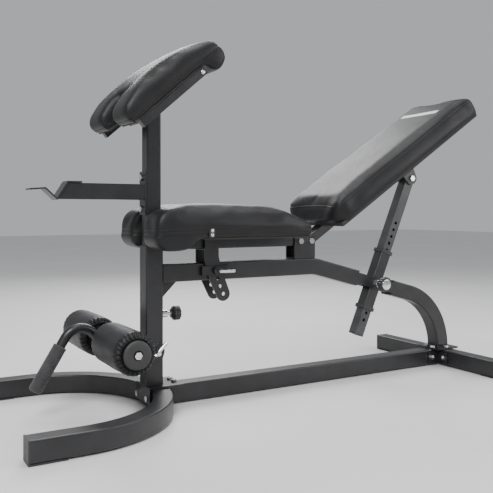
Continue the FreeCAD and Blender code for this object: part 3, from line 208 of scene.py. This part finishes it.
def chrome(name):
    """Plated steel with hairline polishing marks."""
    nodes = Nodes(name)
    colour = mottled(nodes, (0.62, 0.62, 0.64), (0.78, 0.78, 0.80), 40.0)
    hairs = nodes.noise(700.0, 3.0, 0.6, (0.15, 1.0, 1.0))
    roughness = nodes.spread(hairs, 0.08, 0.24)
    return nodes.finish(colour, roughness, nodes.bump(hairs, 0.05, 0.0002), Metallic=1.0)


def moulded(name, dark, light, gloss, grain):
    """Moulded plastic with a spark-eroded texture."""
    nodes = Nodes(name)
    colour = mottled(nodes, dark, light, 30.0)
    roughness = nodes.spread(nodes.noise(200.0, 3.0), gloss - 0.05, gloss + 0.08)
    return nodes.finish(colour, roughness, nodes.bump(nodes.noise(grain, 3.0), 0.18, 0.0004))


def foam_rubber(name):
    """Closed-cell foam: small pores on a matte skin."""
    nodes = Nodes(name)
    colour = mottled(nodes, (0.028, 0.028, 0.030), (0.055, 0.055, 0.057), 45.0)
    roughness = nodes.spread(nodes.noise(90.0), 0.72, 0.9)
    pores = nodes.bump(nodes.cells(950.0), 0.5, 0.0008)
    return nodes.finish(colour, roughness, pores, Sheen_Weight=0.15, Sheen_Roughness=0.5)


def black_board(name):
    """Plywood stained black, its grain along the bench."""
    nodes = Nodes(name)
    grain = nodes.noise(120.0, 5.0, 0.6, (0.08, 1.0, 0.5))
    colour = nodes.ramp(grain, [(0.3, (0.012, 0.011, 0.010)), (0.75, (0.040, 0.036, 0.032))])
    roughness = nodes.spread(grain, 0.65, 0.85)
    return nodes.finish(colour, roughness, nodes.bump(grain, 0.3, 0.0006))


def pale_floor(name):
    nodes = Nodes(name)
    colour = mottled(nodes, (0.66, 0.655, 0.65), (0.71, 0.705, 0.70), 1.6)
    roughness = nodes.spread(nodes.noise(12.0, 4.0), 0.45, 0.6)
    return nodes.finish(colour, roughness, nodes.bump(nodes.noise(260.0, 3.0), 0.05, 0.0008))


STRIPE_FROM_TOP = 115 * MM
STRIPE_HALF_HEIGHT = 10 * MM
STRIPE_HALF_WIDTH = 85 * MM


def headrest_stripe(nodes, base):
    """Plain pale band across the backrest near its top, made from its distance along the pad."""
    along, _ = board_axes("back_board")
    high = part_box("back_board")[1]
    top = Vector((high[0], 0, high[2])).dot(along)
    axis = nodes.add("VectorMath", operation="DOT_PRODUCT")
    axis.inputs[1].default_value = along
    nodes.link(nodes.place, axis.inputs[0])
    parts = nodes.add("SeparateXYZ")
    nodes.link(nodes.place, parts.inputs[0])
    middle = top - STRIPE_FROM_TOP
    off_line = nodes.combine("ABSOLUTE", nodes.combine("SUBTRACT", axis.outputs["Value"], middle), 0.0)
    off_side = nodes.combine("ABSOLUTE", parts.outputs["Y"], 0.0)
    in_line = nodes.combine("LESS_THAN", off_line, STRIPE_HALF_HEIGHT)
    in_side = nodes.combine("LESS_THAN", off_side, STRIPE_HALF_WIDTH)
    mask = nodes.combine("MULTIPLY", in_line, in_side)
    mix = nodes.add("MixRGB")
    nodes.link(mask, mix.inputs["Fac"])
    nodes.link(base, mix.inputs["Color1"])
    mix.inputs["Color2"].default_value = (0.62, 0.62, 0.63, 1)
    return mix.outputs["Color"]


MATERIALS = {
    "frame_paint": powder_coat("frame_paint", (0.008, 0.008, 0.009), (0.016, 0.016, 0.018), 0.36),
    "strut_steel": powder_coat("strut_steel", (0.030, 0.030, 0.032), (0.052, 0.052, 0.055), 0.36),
    "vinyl": vinyl("vinyl", (0.009, 0.009, 0.010), (0.016, 0.016, 0.017), 0.42),
    "board": black_board("board"),
    "chrome": chrome("chrome"),
    "plastic": moulded("plastic", (0.018, 0.018, 0.019), (0.032, 0.032, 0.033), 0.5, 800.0),
    "knob": moulded("knob", (0.012, 0.012, 0.012), (0.024, 0.024, 0.024), 0.28, 500.0),
    "grip": foam_rubber("grip"),
}
BACK_VINYL = vinyl("back_vinyl", (0.009, 0.009, 0.010), (0.016, 0.016, 0.017), 0.44, headrest_stripe)
PIPING = vinyl("piping", (0.010, 0.010, 0.011), (0.018, 0.018, 0.019), 0.34)


def dress_cad():
    """Every CAD node gets the full material of its slot."""
    slots = {part["node"]: part["material_slot"] for part in frame["record"]["subparts"]}
    for node, item in frame["nodes"].items():
        item.data.materials.clear()
        item.data.materials.append(MATERIALS[slots[node]])


# ---------------------------------------------------------------- building pieces

def add_piece(name, mesh, body, material):
    piece = bpy.data.objects.new(name, mesh)
    scene.collection.objects.link(piece)
    mesh.materials.clear()
    mesh.materials.append(material)
    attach(piece, body)
    return piece


def smooth(mesh):
    mesh.polygons.foreach_set("use_smooth", [True] * len(mesh.polygons))


def bake(piece):
    """Applies the piece's modifiers to its mesh."""
    graph = bpy.context.evaluated_depsgraph_get()
    mesh = bpy.data.meshes.new_from_object(piece.evaluated_get(graph))
    piece.modifiers.clear()
    piece.data = mesh
    return mesh


def revolved(name, profile, start, axis, steps, shape=None):
    """Mesh turned round an axis from (distance along it, radius) points. shape bends each point."""
    side = axis.orthogonal().normalized()
    other = axis.cross(side)
    mesh = bpy.data.meshes.new(name)
    work = bmesh.new()
    rings = []
    for along, radius in profile:
        ring = []
        for step in range(steps):
            turn = 2 * math.pi * step / steps
            here, reach = shape(along, radius, turn) if shape else (along, radius)
            direction = side * math.cos(turn) + other * math.sin(turn)
            ring.append(work.verts.new(start + axis * here + direction * reach))
        rings.append(ring)
    for lower, upper in zip(rings, rings[1:]):
        for step in range(steps):
            after = (step + 1) % steps
            work.faces.new((lower[step], lower[after], upper[after], upper[step]))
    for ring in (rings[0], rings[-1]):
        work.faces.new(ring)
    bmesh.ops.recalc_face_normals(work, faces=work.faces)
    work.to_mesh(mesh)
    work.free()
    smooth(mesh)
    return mesh


def arc_points(centre_along, centre_radius, radius, start, end, count):
    """Points of an arc in a revolved profile, from start to end degrees."""
    turns = (math.radians(start + (end - start) * i / count) for i in range(count + 1))
    return [(centre_along + radius * math.cos(turn), centre_radius + radius * math.sin(turn))
            for turn in turns]


# ---------------------------------------------------------------- pads

VOXEL = 5 * MM
WRAP = 11 * MM
SIM_FRAMES = 20
SIM_PRESSURE = 4.0
SWELL_LIMIT = 9 * MM
SETTLE_STEPS = 26
SMOOTH_FACTOR = 0.5
CLOTH_STIFFNESS = 12
CLOTH_BENDING = 3.0
CLOTH_QUALITY = 4
CREASE_DEPTH = 1.1 * MM
CREASE_SCALE = 9.0
SEAM_DEPTH = 1.4 * MM
SEAM_WIDTH = 9 * MM
CORD_RADIUS = 1.3 * MM
SHORTEST_CORD = 40
TUCK_REACH = 55 * MM
TUCK_PITCH = 15 * MM


def pad_blank(node, board, softness):
    """The CAD pad with its underside drawn down round the board, remeshed and its edges softened."""
    mesh = frame["nodes"][node].data.copy()
    _, normal = board_axes(board)
    level = board_top(board).dot(normal)
    for vertex in mesh.vertices:
        if abs(vertex.co.dot(normal) - level) < 1 * MM:
            vertex.co -= normal * WRAP
    piece = bpy.data.objects.new(node + "_cover", mesh)
    scene.collection.objects.link(piece)
    remesh = piece.modifiers.new("remesh", "REMESH")
    remesh.mode = "VOXEL"
    remesh.voxel_size = VOXEL
    soften = piece.modifiers.new("soften", "SMOOTH")
    soften.factor = SMOOTH_FACTOR
    soften.iterations = softness
    bake(piece)
    return piece


def inflate(piece, held):
    """Cloth with inner pressure swells the cover, which then settles smooth.

    The held vertices stay while it swells, and none moves too far."""
    mesh = piece.data
    rest = [vertex.co.copy() for vertex in mesh.vertices]
    group = piece.vertex_groups.new(name="held")
    group.add([i for i, co in enumerate(rest) if held(co)], 1.0, "REPLACE")
    cloth = piece.modifiers.new("swell", "CLOTH")
    cloth.settings.vertex_group_mass = "held"
    cloth.settings.use_pressure = True
    cloth.settings.uniform_pressure_force = SIM_PRESSURE
    cloth.settings.effector_weights.gravity = 0
    cloth.settings.tension_stiffness = CLOTH_STIFFNESS
    cloth.settings.compression_stiffness = CLOTH_STIFFNESS
    cloth.settings.bending_stiffness = CLOTH_BENDING
    cloth.settings.quality = CLOTH_QUALITY
    cloth.collision_settings.use_collision = False
    for step in range(1, SIM_FRAMES + 1):
        scene.frame_set(step)
    mesh = bake(piece)
    for vertex, before in zip(mesh.vertices, rest):
        move = vertex.co - before
        if move.length > SWELL_LIMIT:
            vertex.co = before + move.normalized() * SWELL_LIMIT
    scene.frame_set(1)
    settle = piece.modifiers.new("settle", "SMOOTH")
    settle.factor = SMOOTH_FACTOR
    settle.iterations = SETTLE_STEPS
    bake(piece)


def press_seam(mesh, point, normal, depth, width):
    """Draws the cover in along the plane of a seam."""
    for vertex in mesh.vertices:
        off = (vertex.co - point).dot(normal)
        if abs(off) < width:
            pull = depth * (1 + math.cos(math.pi * off / width)) / 2
            side = vertex.normal - normal * vertex.normal.dot(normal)
            vertex.co -= side * pull


def seam_cord(name, mesh, point, normal, radius, body):
    """Welt that follows the line where a plane meets the cover."""
    work = bmesh.new()
    work.from_mesh(mesh)
    faces = work.verts[:] + work.edges[:] + work.faces[:]
    found = bmesh.ops.bisect_plane(work, geom=faces, plane_co=point, plane_no=normal)["geom_cut"]
    edges = {item for item in found if isinstance(item, bmesh.types.BMEdge)}
    curve = bpy.data.curves.new(name, "CURVE")
    curve.dimensions = "3D"
    curve.bevel_depth = radius
    curve.bevel_resolution = 2
    while edges:
        edge = edges.pop()
        loop = [edge.verts[0], edge.verts[1]]
        while True:
            step = next((e for e in loop[-1].link_edges if e in edges), None)
            if step is None:
                break
            edges.remove(step)
            loop.append(step.other_vert(loop[-1]))
        if len(loop) < SHORTEST_CORD:
            continue
        spline = curve.splines.new("POLY")
        places = [vertex.co.copy() for vertex in loop[::2]]
        spline.points.add(len(places) - 1)
        for target, place in zip(spline.points, places):
            target.co = (*place, 1)
        spline.use_cyclic_u = True
    work.free()
    curve.materials.append(PIPING)
    cord = bpy.data.objects.new(name, curve)
    scene.collection.objects.link(cord)
    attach(cord, body)


def pleat(mesh, origin, along, reach, depth, pitch):
    """Gathers at a rounded end: uneven tucks across the pad's width that fade away from the end."""
    for vertex in mesh.vertices:
        distance = (vertex.co - origin).dot(along)
        if 0 <= distance < reach:
            fade = (1 - distance / reach) ** 2
            wobble = noise.noise(vertex.co * 24.0) * 3.4
            tuck = (0.5 + 0.5 * math.cos(2 * math.pi * vertex.co.y / pitch + wobble)) ** 4
            strength = 0.6 + noise.noise(Vector((vertex.co.y * 20, 0, 0)))
            vertex.co -= vertex.normal * tuck * depth * fade * strength


def crease(mesh, depth, scale):
    """Slow hand-stretched unevenness of the cover."""
    for vertex in mesh.vertices:
        vertex.co += vertex.normal * noise.noise(vertex.co * scale) * depth


def padded_cover(node, board, body, material, seams, softness, tucks):
    """A finished pad: swollen cover with seams and gathers, in place of the CAD solid."""
    along, normal = board_axes(board)
    top = board_top(board)
    level = top.dot(normal)
    piece = pad_blank(node, board, softness)
    inflate(piece, lambda co: co.dot(normal) < level + 2 * MM)
    mesh = piece.data
    crease(mesh, CREASE_DEPTH, CREASE_SCALE)
    origin = min((vertex.co for vertex in mesh.vertices), key=lambda co: co.dot(along)).copy()
    pleat(mesh, origin, along, TUCK_REACH, tucks, TUCK_PITCH)
    for height in seams:
        press_seam(mesh, top + normal * height, normal, SEAM_DEPTH, SEAM_WIDTH)
    for number, height in enumerate(seams, start=1):
        seam_cord("%s_seam_%d" % (node, number), mesh, top + normal * height, normal, CORD_RADIUS, body)
    divide = piece.modifiers.new("divide", "SUBSURF")
    divide.levels = divide.render_levels = 1
    mesh = bake(piece)
    smooth(mesh)
    mesh.materials.clear()
    mesh.materials.append(material)
    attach(piece, body)
    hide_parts(node)


def make_pads():
    padded_cover("seat_pad", "seat_board", "seat", MATERIALS["vinyl"], (3 * MM, 14 * MM), 60, 0.4 * MM)
    padded_cover("back_pad", "back_board", "backrest", BACK_VINYL, (4 * MM, 50 * MM), 40, 0.4 * MM)
    padded_cover("preacher_pad", "preacher_board", "upper_post_slide", MATERIALS["vinyl"],
                 (4 * MM,), 50, 1.5 * MM)


# ---------------------------------------------------------------- rollers, grip and knobs

GATHERS = 27
GATHER_DEPTH = 4.0 * MM
GATHER_REACH = 26 * MM
GATHER_STEPS = 10
ROLLER_EDGE = 17 * MM
ROLLER_LAP = 8 * MM
CAP_BORE = 12 * MM
CAP_RISE = 6 * MM
CAP_DEPTH = 5 * MM
CAP_LAP = 0.6 * MM
CAP_STEPS = 12


def roller_cover(side):
    """Vinyl cover on a foam roller, gathered into pleats on both ends."""
    node = "foam_roller_" + side
    body = "roller_" + side
    low, high = (Vector(corner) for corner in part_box(node))
    middle = (low + high) / 2
    length = high.y - low.y
    radius = (high.z - low.z) / 2
    inner = span("roller_core_" + side).z / 2 - ROLLER_LAP
    edge = ROLLER_EDGE
    start = Vector((middle.x, low.y, middle.z))
    flat = [(2 * MM, inner), (0.6 * MM, inner + 7 * MM), (0.0, inner + 16 * MM)]
    near = arc_points(edge, radius - edge, edge, 180, 90, 9)
    body_line = [(edge + (length - 2 * edge) * i / 24, radius) for i in range(1, 24)]
    far = arc_points(length - edge, radius - edge, edge, 90, 0, 9)
    far_flat = [(length - along, reach) for along, reach in reversed(flat)]

    def gathered(along, reach, turn):
        end = min(along, length - along)
        fade = max(0.0, 1 - end / GATHER_REACH) ** 1.5
        around = Vector((math.cos(turn), math.sin(turn), along / length))
        phase = GATHERS * turn + 2.2 * noise.noise(around * 4)
        fold = (0.5 + 0.5 * math.cos(phase)) ** 2 * (0.8 + 0.5 * noise.noise(around * 9))
        slack = noise.noise(Vector((along * 14, 2 * around.x, 2 * around.y))) * 1.0 * MM
        inward = -1 if along > length / 2 else 1
        depth = fold * fade * GATHER_DEPTH
        return along + inward * depth, reach - depth * 0.7 + slack

    line = flat + near + body_line + far + far_flat
    mesh = revolved(node + "_cover", line, start, Y_AXIS, GATHERS * GATHER_STEPS, gathered)
    piece = add_piece(node + "_cover", mesh, body, MATERIALS["vinyl"])
    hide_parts(node)


def roller_cap(side, outward):
    """Domed plastic cap round the axle nut."""
    core = "roller_core_" + side
    low, high = (Vector(corner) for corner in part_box(core))
    middle = (low + high) / 2
    radius = (high.z - low.z) / 2
    face = high.y if outward > 0 else low.y
    start = Vector((middle.x, face, middle.z))
    turns = [math.pi / 2 * i / CAP_STEPS for i in range(CAP_STEPS + 1)]
    dome = [(CAP_RISE * math.cos(turn), CAP_BORE + (radius - CAP_BORE) * math.sin(turn)) for turn in turns]
    profile = [(0.0, CAP_BORE)] + dome + [(-CAP_DEPTH, radius + CAP_LAP), (-CAP_DEPTH, CAP_BORE)]
    mesh = revolved("roller_cap_" + side, profile, start, Y_AXIS * outward, 72)
    add_piece("roller_cap_" + side, mesh, "roller_" + side, MATERIALS["plastic"])


def ribbed_knob(node, body, axis, ribs):
    """Knob with a ribbed rim. A round-edged chrome disc covers its face, level with a bar across it."""
    low, high = (Vector(corner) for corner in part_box(node))
    middle = (low + high) / 2
    length = abs((high - low).dot(axis))
    across = (high - low).z / 2
    start = middle - axis * length / 2
    rim = [(0.0, 6 * MM), (0.0, across * 0.62), (length * 0.16, across * 0.70),
           (length * 0.24, across * 0.94)]
    rim += arc_points(length * 0.34, across * 0.90, across * 0.10, 120, 90, 3)
    rim += arc_points(length * 0.86, across * 0.88, across * 0.12, 90, 0, 6)
    rim += [(length * 0.96, across * 0.70), (length * 0.90, across * 0.62), (length * 0.90, across * 0.30),
            (length * 0.97, across * 0.18), (length, across * 0.05)]

    def ribbed(along, reach, turn):
        if not length * 0.2 < along < length * 0.98 or reach < across * 0.8:
            return along, reach
        return along, reach - across * 0.07 * (0.5 + 0.5 * math.cos(ribs * turn)) ** 2

    mesh = revolved(node + "_moulding", rim, start, axis, ribs * 8, ribbed)
    piece = add_piece(node + "_moulding", mesh, body, MATERIALS["knob"])
    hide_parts(node)
    ring = arc_points(length * 0.92, across * 0.62, 2.6 * MM, 180, 0, 8)
    ring_mesh = revolved(node + "_ring", ring, start, axis, 64)
    add_piece(node + "_ring", ring_mesh, body, MATERIALS["chrome"])
    bar_half = across * 0.58
    side = axis.orthogonal().normalized()
    bar = [(bar_half * 2 * i / 8, 2.4 * MM * (1 - abs(i - 4) / 9)) for i in range(9)]
    bar_start = start + axis * length * 0.93 - side * bar_half
    bar_mesh = revolved(node + "_bar", bar, bar_start, side, 16)
    add_piece(node + "_bar", bar_mesh, body, MATERIALS["chrome"])


def bar_grip():
    """Foam grip with shallow rings and a closed, rounded end."""
    low, high = (Vector(corner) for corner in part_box("bar_grip"))
    solid = frame["nodes"]["bar_grip"].data
    face = max(solid.polygons, key=lambda polygon: -polygon.normal.z * polygon.area)
    down = face.normal.copy()
    places = [vertex.co.dot(down) for vertex in solid.vertices]
    middle = (low + high) / 2
    length = max(places) - min(places)
    start = middle - down * length / 2
    bore = span("curl_bar").y / 2 + 0.4 * MM
    radius = (high.y - low.y) / 2
    rings = [(8 * MM + (length - 22 * MM) * i / 120,
              radius - 0.5 * MM - 0.5 * MM * math.cos(2 * math.pi * 20 * i / 120)) for i in range(121)]
    profile = [(0.0, bore), (0.0, radius - 4 * MM)] + arc_points(4 * MM, radius - 4 * MM, 4 * MM, 180, 90, 5)
    profile += rings + arc_points(length - 9 * MM, radius - 9 * MM, 9 * MM, 90, 0, 8) + [(length, 2 * MM)]
    mesh = revolved("bar_grip_foam", profile, start, down, 72)
    piece = add_piece("bar_grip_foam", mesh, "leg_lever", MATERIALS["grip"])
    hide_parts("bar_grip")


def make_round_parts():
    for side, outward in (("left", 1), ("right", -1)):
        roller_cover(side)
        roller_cap(side, outward)
    ribbed_knob("strut_knob", "strut_pull_pin", -Y_AXIS, 16)
    ribbed_knob("post_knob", "post_pull_pin", Vector((1, 0, 0)), 14)
    bar_grip()


# ---------------------------------------------------------------- small hardware and welds

def end_plug(name, place, along, up, width, height, body):
    """Plastic plug in an open tube end: a thin rim and a crowned face."""
    side = up.cross(along)
    mesh = bpy.data.meshes.new(name)
    work = bmesh.new()
    rows = [(-12 * MM, 0.90, 0.90), (-0.5 * MM, 0.90, 0.90), (-0.3 * MM, 1.0, 1.0), (1.2 * MM, 1.0, 1.0),
            (2.4 * MM, 0.93, 0.90), (3.0 * MM, 0.6, 0.5)]
    rings = []
    count = 40
    for depth, wide, high in rows:
        ring = []
        for step in range(count):
            turn = 2 * math.pi * step / count
            x = math.copysign(abs(math.cos(turn)) ** 0.25, math.cos(turn)) * width / 2 * wide
            z = math.copysign(abs(math.sin(turn)) ** 0.25, math.sin(turn)) * height / 2 * high
            ring.append(work.verts.new(place + along * depth + side * x + up * z))
        rings.append(ring)
    for lower, upper in zip(rings, rings[1:]):
        for step in range(count):
            after = (step + 1) % count
            work.faces.new((lower[step], lower[after], upper[after], upper[step]))
    work.faces.new(rings[0])
    work.faces.new(rings[-1])
    bmesh.ops.recalc_face_normals(work, faces=work.faces)
    work.to_mesh(mesh)
    work.free()
    smooth(mesh)
    add_piece(name, mesh, body, MATERIALS["plastic"])


def tube_plugs():
    wide = span("seat_frame").y - 1 * MM
    tall = span("seat_frame").z - 1 * MM
    place = Vector((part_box("seat_frame")[0][0], 0, centre("seat_frame").z))
    end_plug("seat_frame_plug", place, Vector((-1, 0, 0)), Z_AXIS, wide, tall, "seat")
    along, normal = board_axes("back_board")
    tube = frame["nodes"]["backrest_tube"].data.vertices
    reach = max(vertex.co.dot(along) for vertex in tube)
    heights = [vertex.co.dot(normal) for vertex in tube]
    place = along * reach + normal * (max(heights) + min(heights)) / 2
    end_plug("backrest_tube_plug", place, along, normal, wide, tall, "backrest")


WELD_RADIUS = 1.8 * MM
WELD_LIFT = 1 * MM


def weld_bead(name, place, out, across, width, height, radius, body):
    """Bead round a square joint: a wavy ring that lies on the wall."""
    curve = bpy.data.curves.new(name, "CURVE")
    curve.dimensions = "3D"
    curve.bevel_depth = radius
    curve.bevel_resolution = 3
    up = out.cross(across)
    spline = curve.splines.new("POLY")
    count = 132
    spline.points.add(count - 1)
    for step, target in enumerate(spline.points):
        turn = 2 * math.pi * step / count
        x = math.copysign(abs(math.cos(turn)) ** 0.22, math.cos(turn)) * width / 2
        z = math.copysign(abs(math.sin(turn)) ** 0.22, math.sin(turn)) * height / 2
        target.co = (*(place + across * x + up * z), 1)
        target.radius = 0.85 + 0.2 * math.sin(step * 2.4)
    spline.use_cyclic_u = True
    curve.materials.append(MATERIALS["frame_paint"])
    bead = bpy.data.objects.new(name, curve)
    scene.collection.objects.link(bead)
    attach(bead, body)


def welds():
    tube = span("floor_beam").z
    rail_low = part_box("seat_rail")[0]
    rail_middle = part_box("post_gusset")[1][2] + tube / 2
    weld_bead("rail_weld", Vector((rail_low[0] + WELD_LIFT, 0, rail_middle)), Vector((1, 0, 0)), Y_AXIS,
              tube, tube, WELD_RADIUS, "frame")
    post_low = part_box("post")[0]
    level = post_low[2] + WELD_LIFT
    weld_bead("post_weld", Vector((0, 0, level)), Z_AXIS, Y_AXIS, tube, tube, WELD_RADIUS, "frame")
    leg_place = Vector((centre("rear_stabilizer").x, 0, level))
    weld_bead("leg_weld", leg_place, Z_AXIS, Y_AXIS, tube, tube, WELD_RADIUS, "frame")
    arm_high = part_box("bar_arm")[1]
    hook_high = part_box("bar_hook")[1]
    arm_place = Vector((arm_high[0] - 7 * MM, 0, hook_high[2] - 26 * MM))
    weld_bead("arm_weld", arm_place, Vector((-1, 0, 0)), Y_AXIS, 40 * MM, 42 * MM, 1.5 * MM,
              "upper_post_slide")


def screw_heads(name, places, out, radius, body):
    """Low button heads with a driver recess."""
    for number, place in enumerate(places, start=1):
        profile = [(0.0, radius), (radius * 0.25, radius)]
        turns = [math.pi / 2 * i / 6 for i in range(1, 5)]
        profile += [(radius * (0.25 + 0.35 * math.sin(turn)), radius * (0.95 * math.cos(turn) + 0.05))
                    for turn in turns]
        profile += [(radius * 0.52, radius * 0.30), (radius * 0.30, radius * 0.26),
                    (radius * 0.30, radius * 0.02)]
        mesh = revolved("%s_%d" % (name, number), profile, place, out, 24)
        add_piece("%s_%d" % (name, number), mesh, body, MATERIALS["chrome"])


def seat_clips():
    """Small plate with two screws at the front end of the trim, on both sides of the seat."""
    board_low, board_high = (Vector(corner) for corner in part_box("seat_board"))
    pad_low, pad_high = (Vector(corner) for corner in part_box("seat_pad"))
    for side, face in ((-1, pad_low.y), (1, pad_high.y)):
        place = Vector((board_low.x + 18 * MM, face + side * 1.5 * MM, board_high.z + 7 * MM))
        out = Y_AXIS * side
        end_plug("seat_clip_%d" % (side + 2), place, out, Z_AXIS, 17 * MM, 27 * MM, "seat")
        spots = [place + out * 2 * MM + Z_AXIS * offset for offset in (-6 * MM, 6 * MM)]
        screw_heads("seat_clip_screw_%d" % (side + 2), spots, out, 4.5 * MM, "seat")


def preacher_screws():
    """Screws through the preacher frame's side bars, at their upper ends."""
    along, normal = board_axes("preacher_board")
    bars = [vertex.co for vertex in frame["nodes"]["preacher_frame"].data.vertices]
    reach = max(co.dot(along) for co in bars) - 12 * MM
    levels = [co.dot(normal) for co in bars]
    level = (max(levels) + min(levels)) / 2
    edge = max(co.y for co in bars)
    for side in (-1, 1):
        place = along * reach + normal * level + Y_AXIS * side * edge
        screw_heads("preacher_screw_%d" % (side + 2), [place], Y_AXIS * side, 6 * MM, "upper_post_slide")


def board_screws():
    """Screws that hold the boards, seen from below."""
    along, normal = board_axes("back_board")
    base = frame["nodes"]["strut_hanger"].data.vertices
    face = max(vertex.co.dot(normal) for vertex in base) - span("floor_beam").z * 0.08
    reach = [vertex.co.dot(along) for vertex in base]
    wide = span("strut_hanger").y / 2 - 8 * MM
    middle = (max(reach) + min(reach)) / 2
    places = [along * (middle + offset) + normal * face + Y_AXIS * side * wide
              for offset in (-22 * MM, 22 * MM) for side in (-1, 1)]
    screw_heads("hanger_screw", places, -normal, 5 * MM, "backrest")


# ---------------------------------------------------------------- studio

def camera():
    data = bpy.data.cameras.new("camera")
    data.lens = CAMERA_LENS
    data.sensor_width = CAMERA_SENSOR
    data.shift_y = CAMERA_SHIFT
    view = bpy.data.objects.new("camera", data)
    view.location = CAMERA_PLACE
    view.rotation_euler = (math.radians(90), 0, math.radians(CAMERA_TURN))
    scene.collection.objects.link(view)
    scene.camera = view


def studio():
    mesh = bpy.data.meshes.new("floor")
    reach = FLOOR_REACH
    corners = [(-reach, -reach), (reach, -reach), (reach, reach), (-reach, reach)]
    mesh.from_pydata([(x, y, -FLOOR_DROP) for x, y in corners], [], [(0, 1, 2, 3)])
    floor = bpy.data.objects.new("floor", mesh)
    mesh.materials.append(pale_floor("floor"))
    scene.collection.objects.link(floor)
    world = bpy.data.worlds.new("studio")
    scene.world = world
    world.use_nodes = True
    background = world.node_tree.nodes["Background"]
    background.inputs["Color"].default_value = (0.92, 0.94, 0.97, 1)
    background.inputs["Strength"].default_value = 0.5
    lamps = [("key", (-1.6, -2.2, 2.6), 1.6, 100), ("fill", (2.6, -1.8, 1.6), 2.2, 40),
             ("rim", (1.2, 2.4, 2.2), 1.8, 60), ("top", (0.4, 0.0, 3.2), 2.4, 70)]
    target = centre("seat_rail")
    for name, place, size, power in lamps:
        data = bpy.data.lights.new(name, "AREA")
        data.shape = "DISK"
        data.size = size
        data.energy = power
        lamp = bpy.data.objects.new(name, data)
        lamp.location = place
        lamp.rotation_euler = (target - Vector(place)).to_track_quat("-Z", "Y").to_euler()
        scene.collection.objects.link(lamp)


camera()
studio()
dress_cad()
make_pads()
make_round_parts()
tube_plugs()
welds()
seat_clips()
preacher_screws()
board_screws()
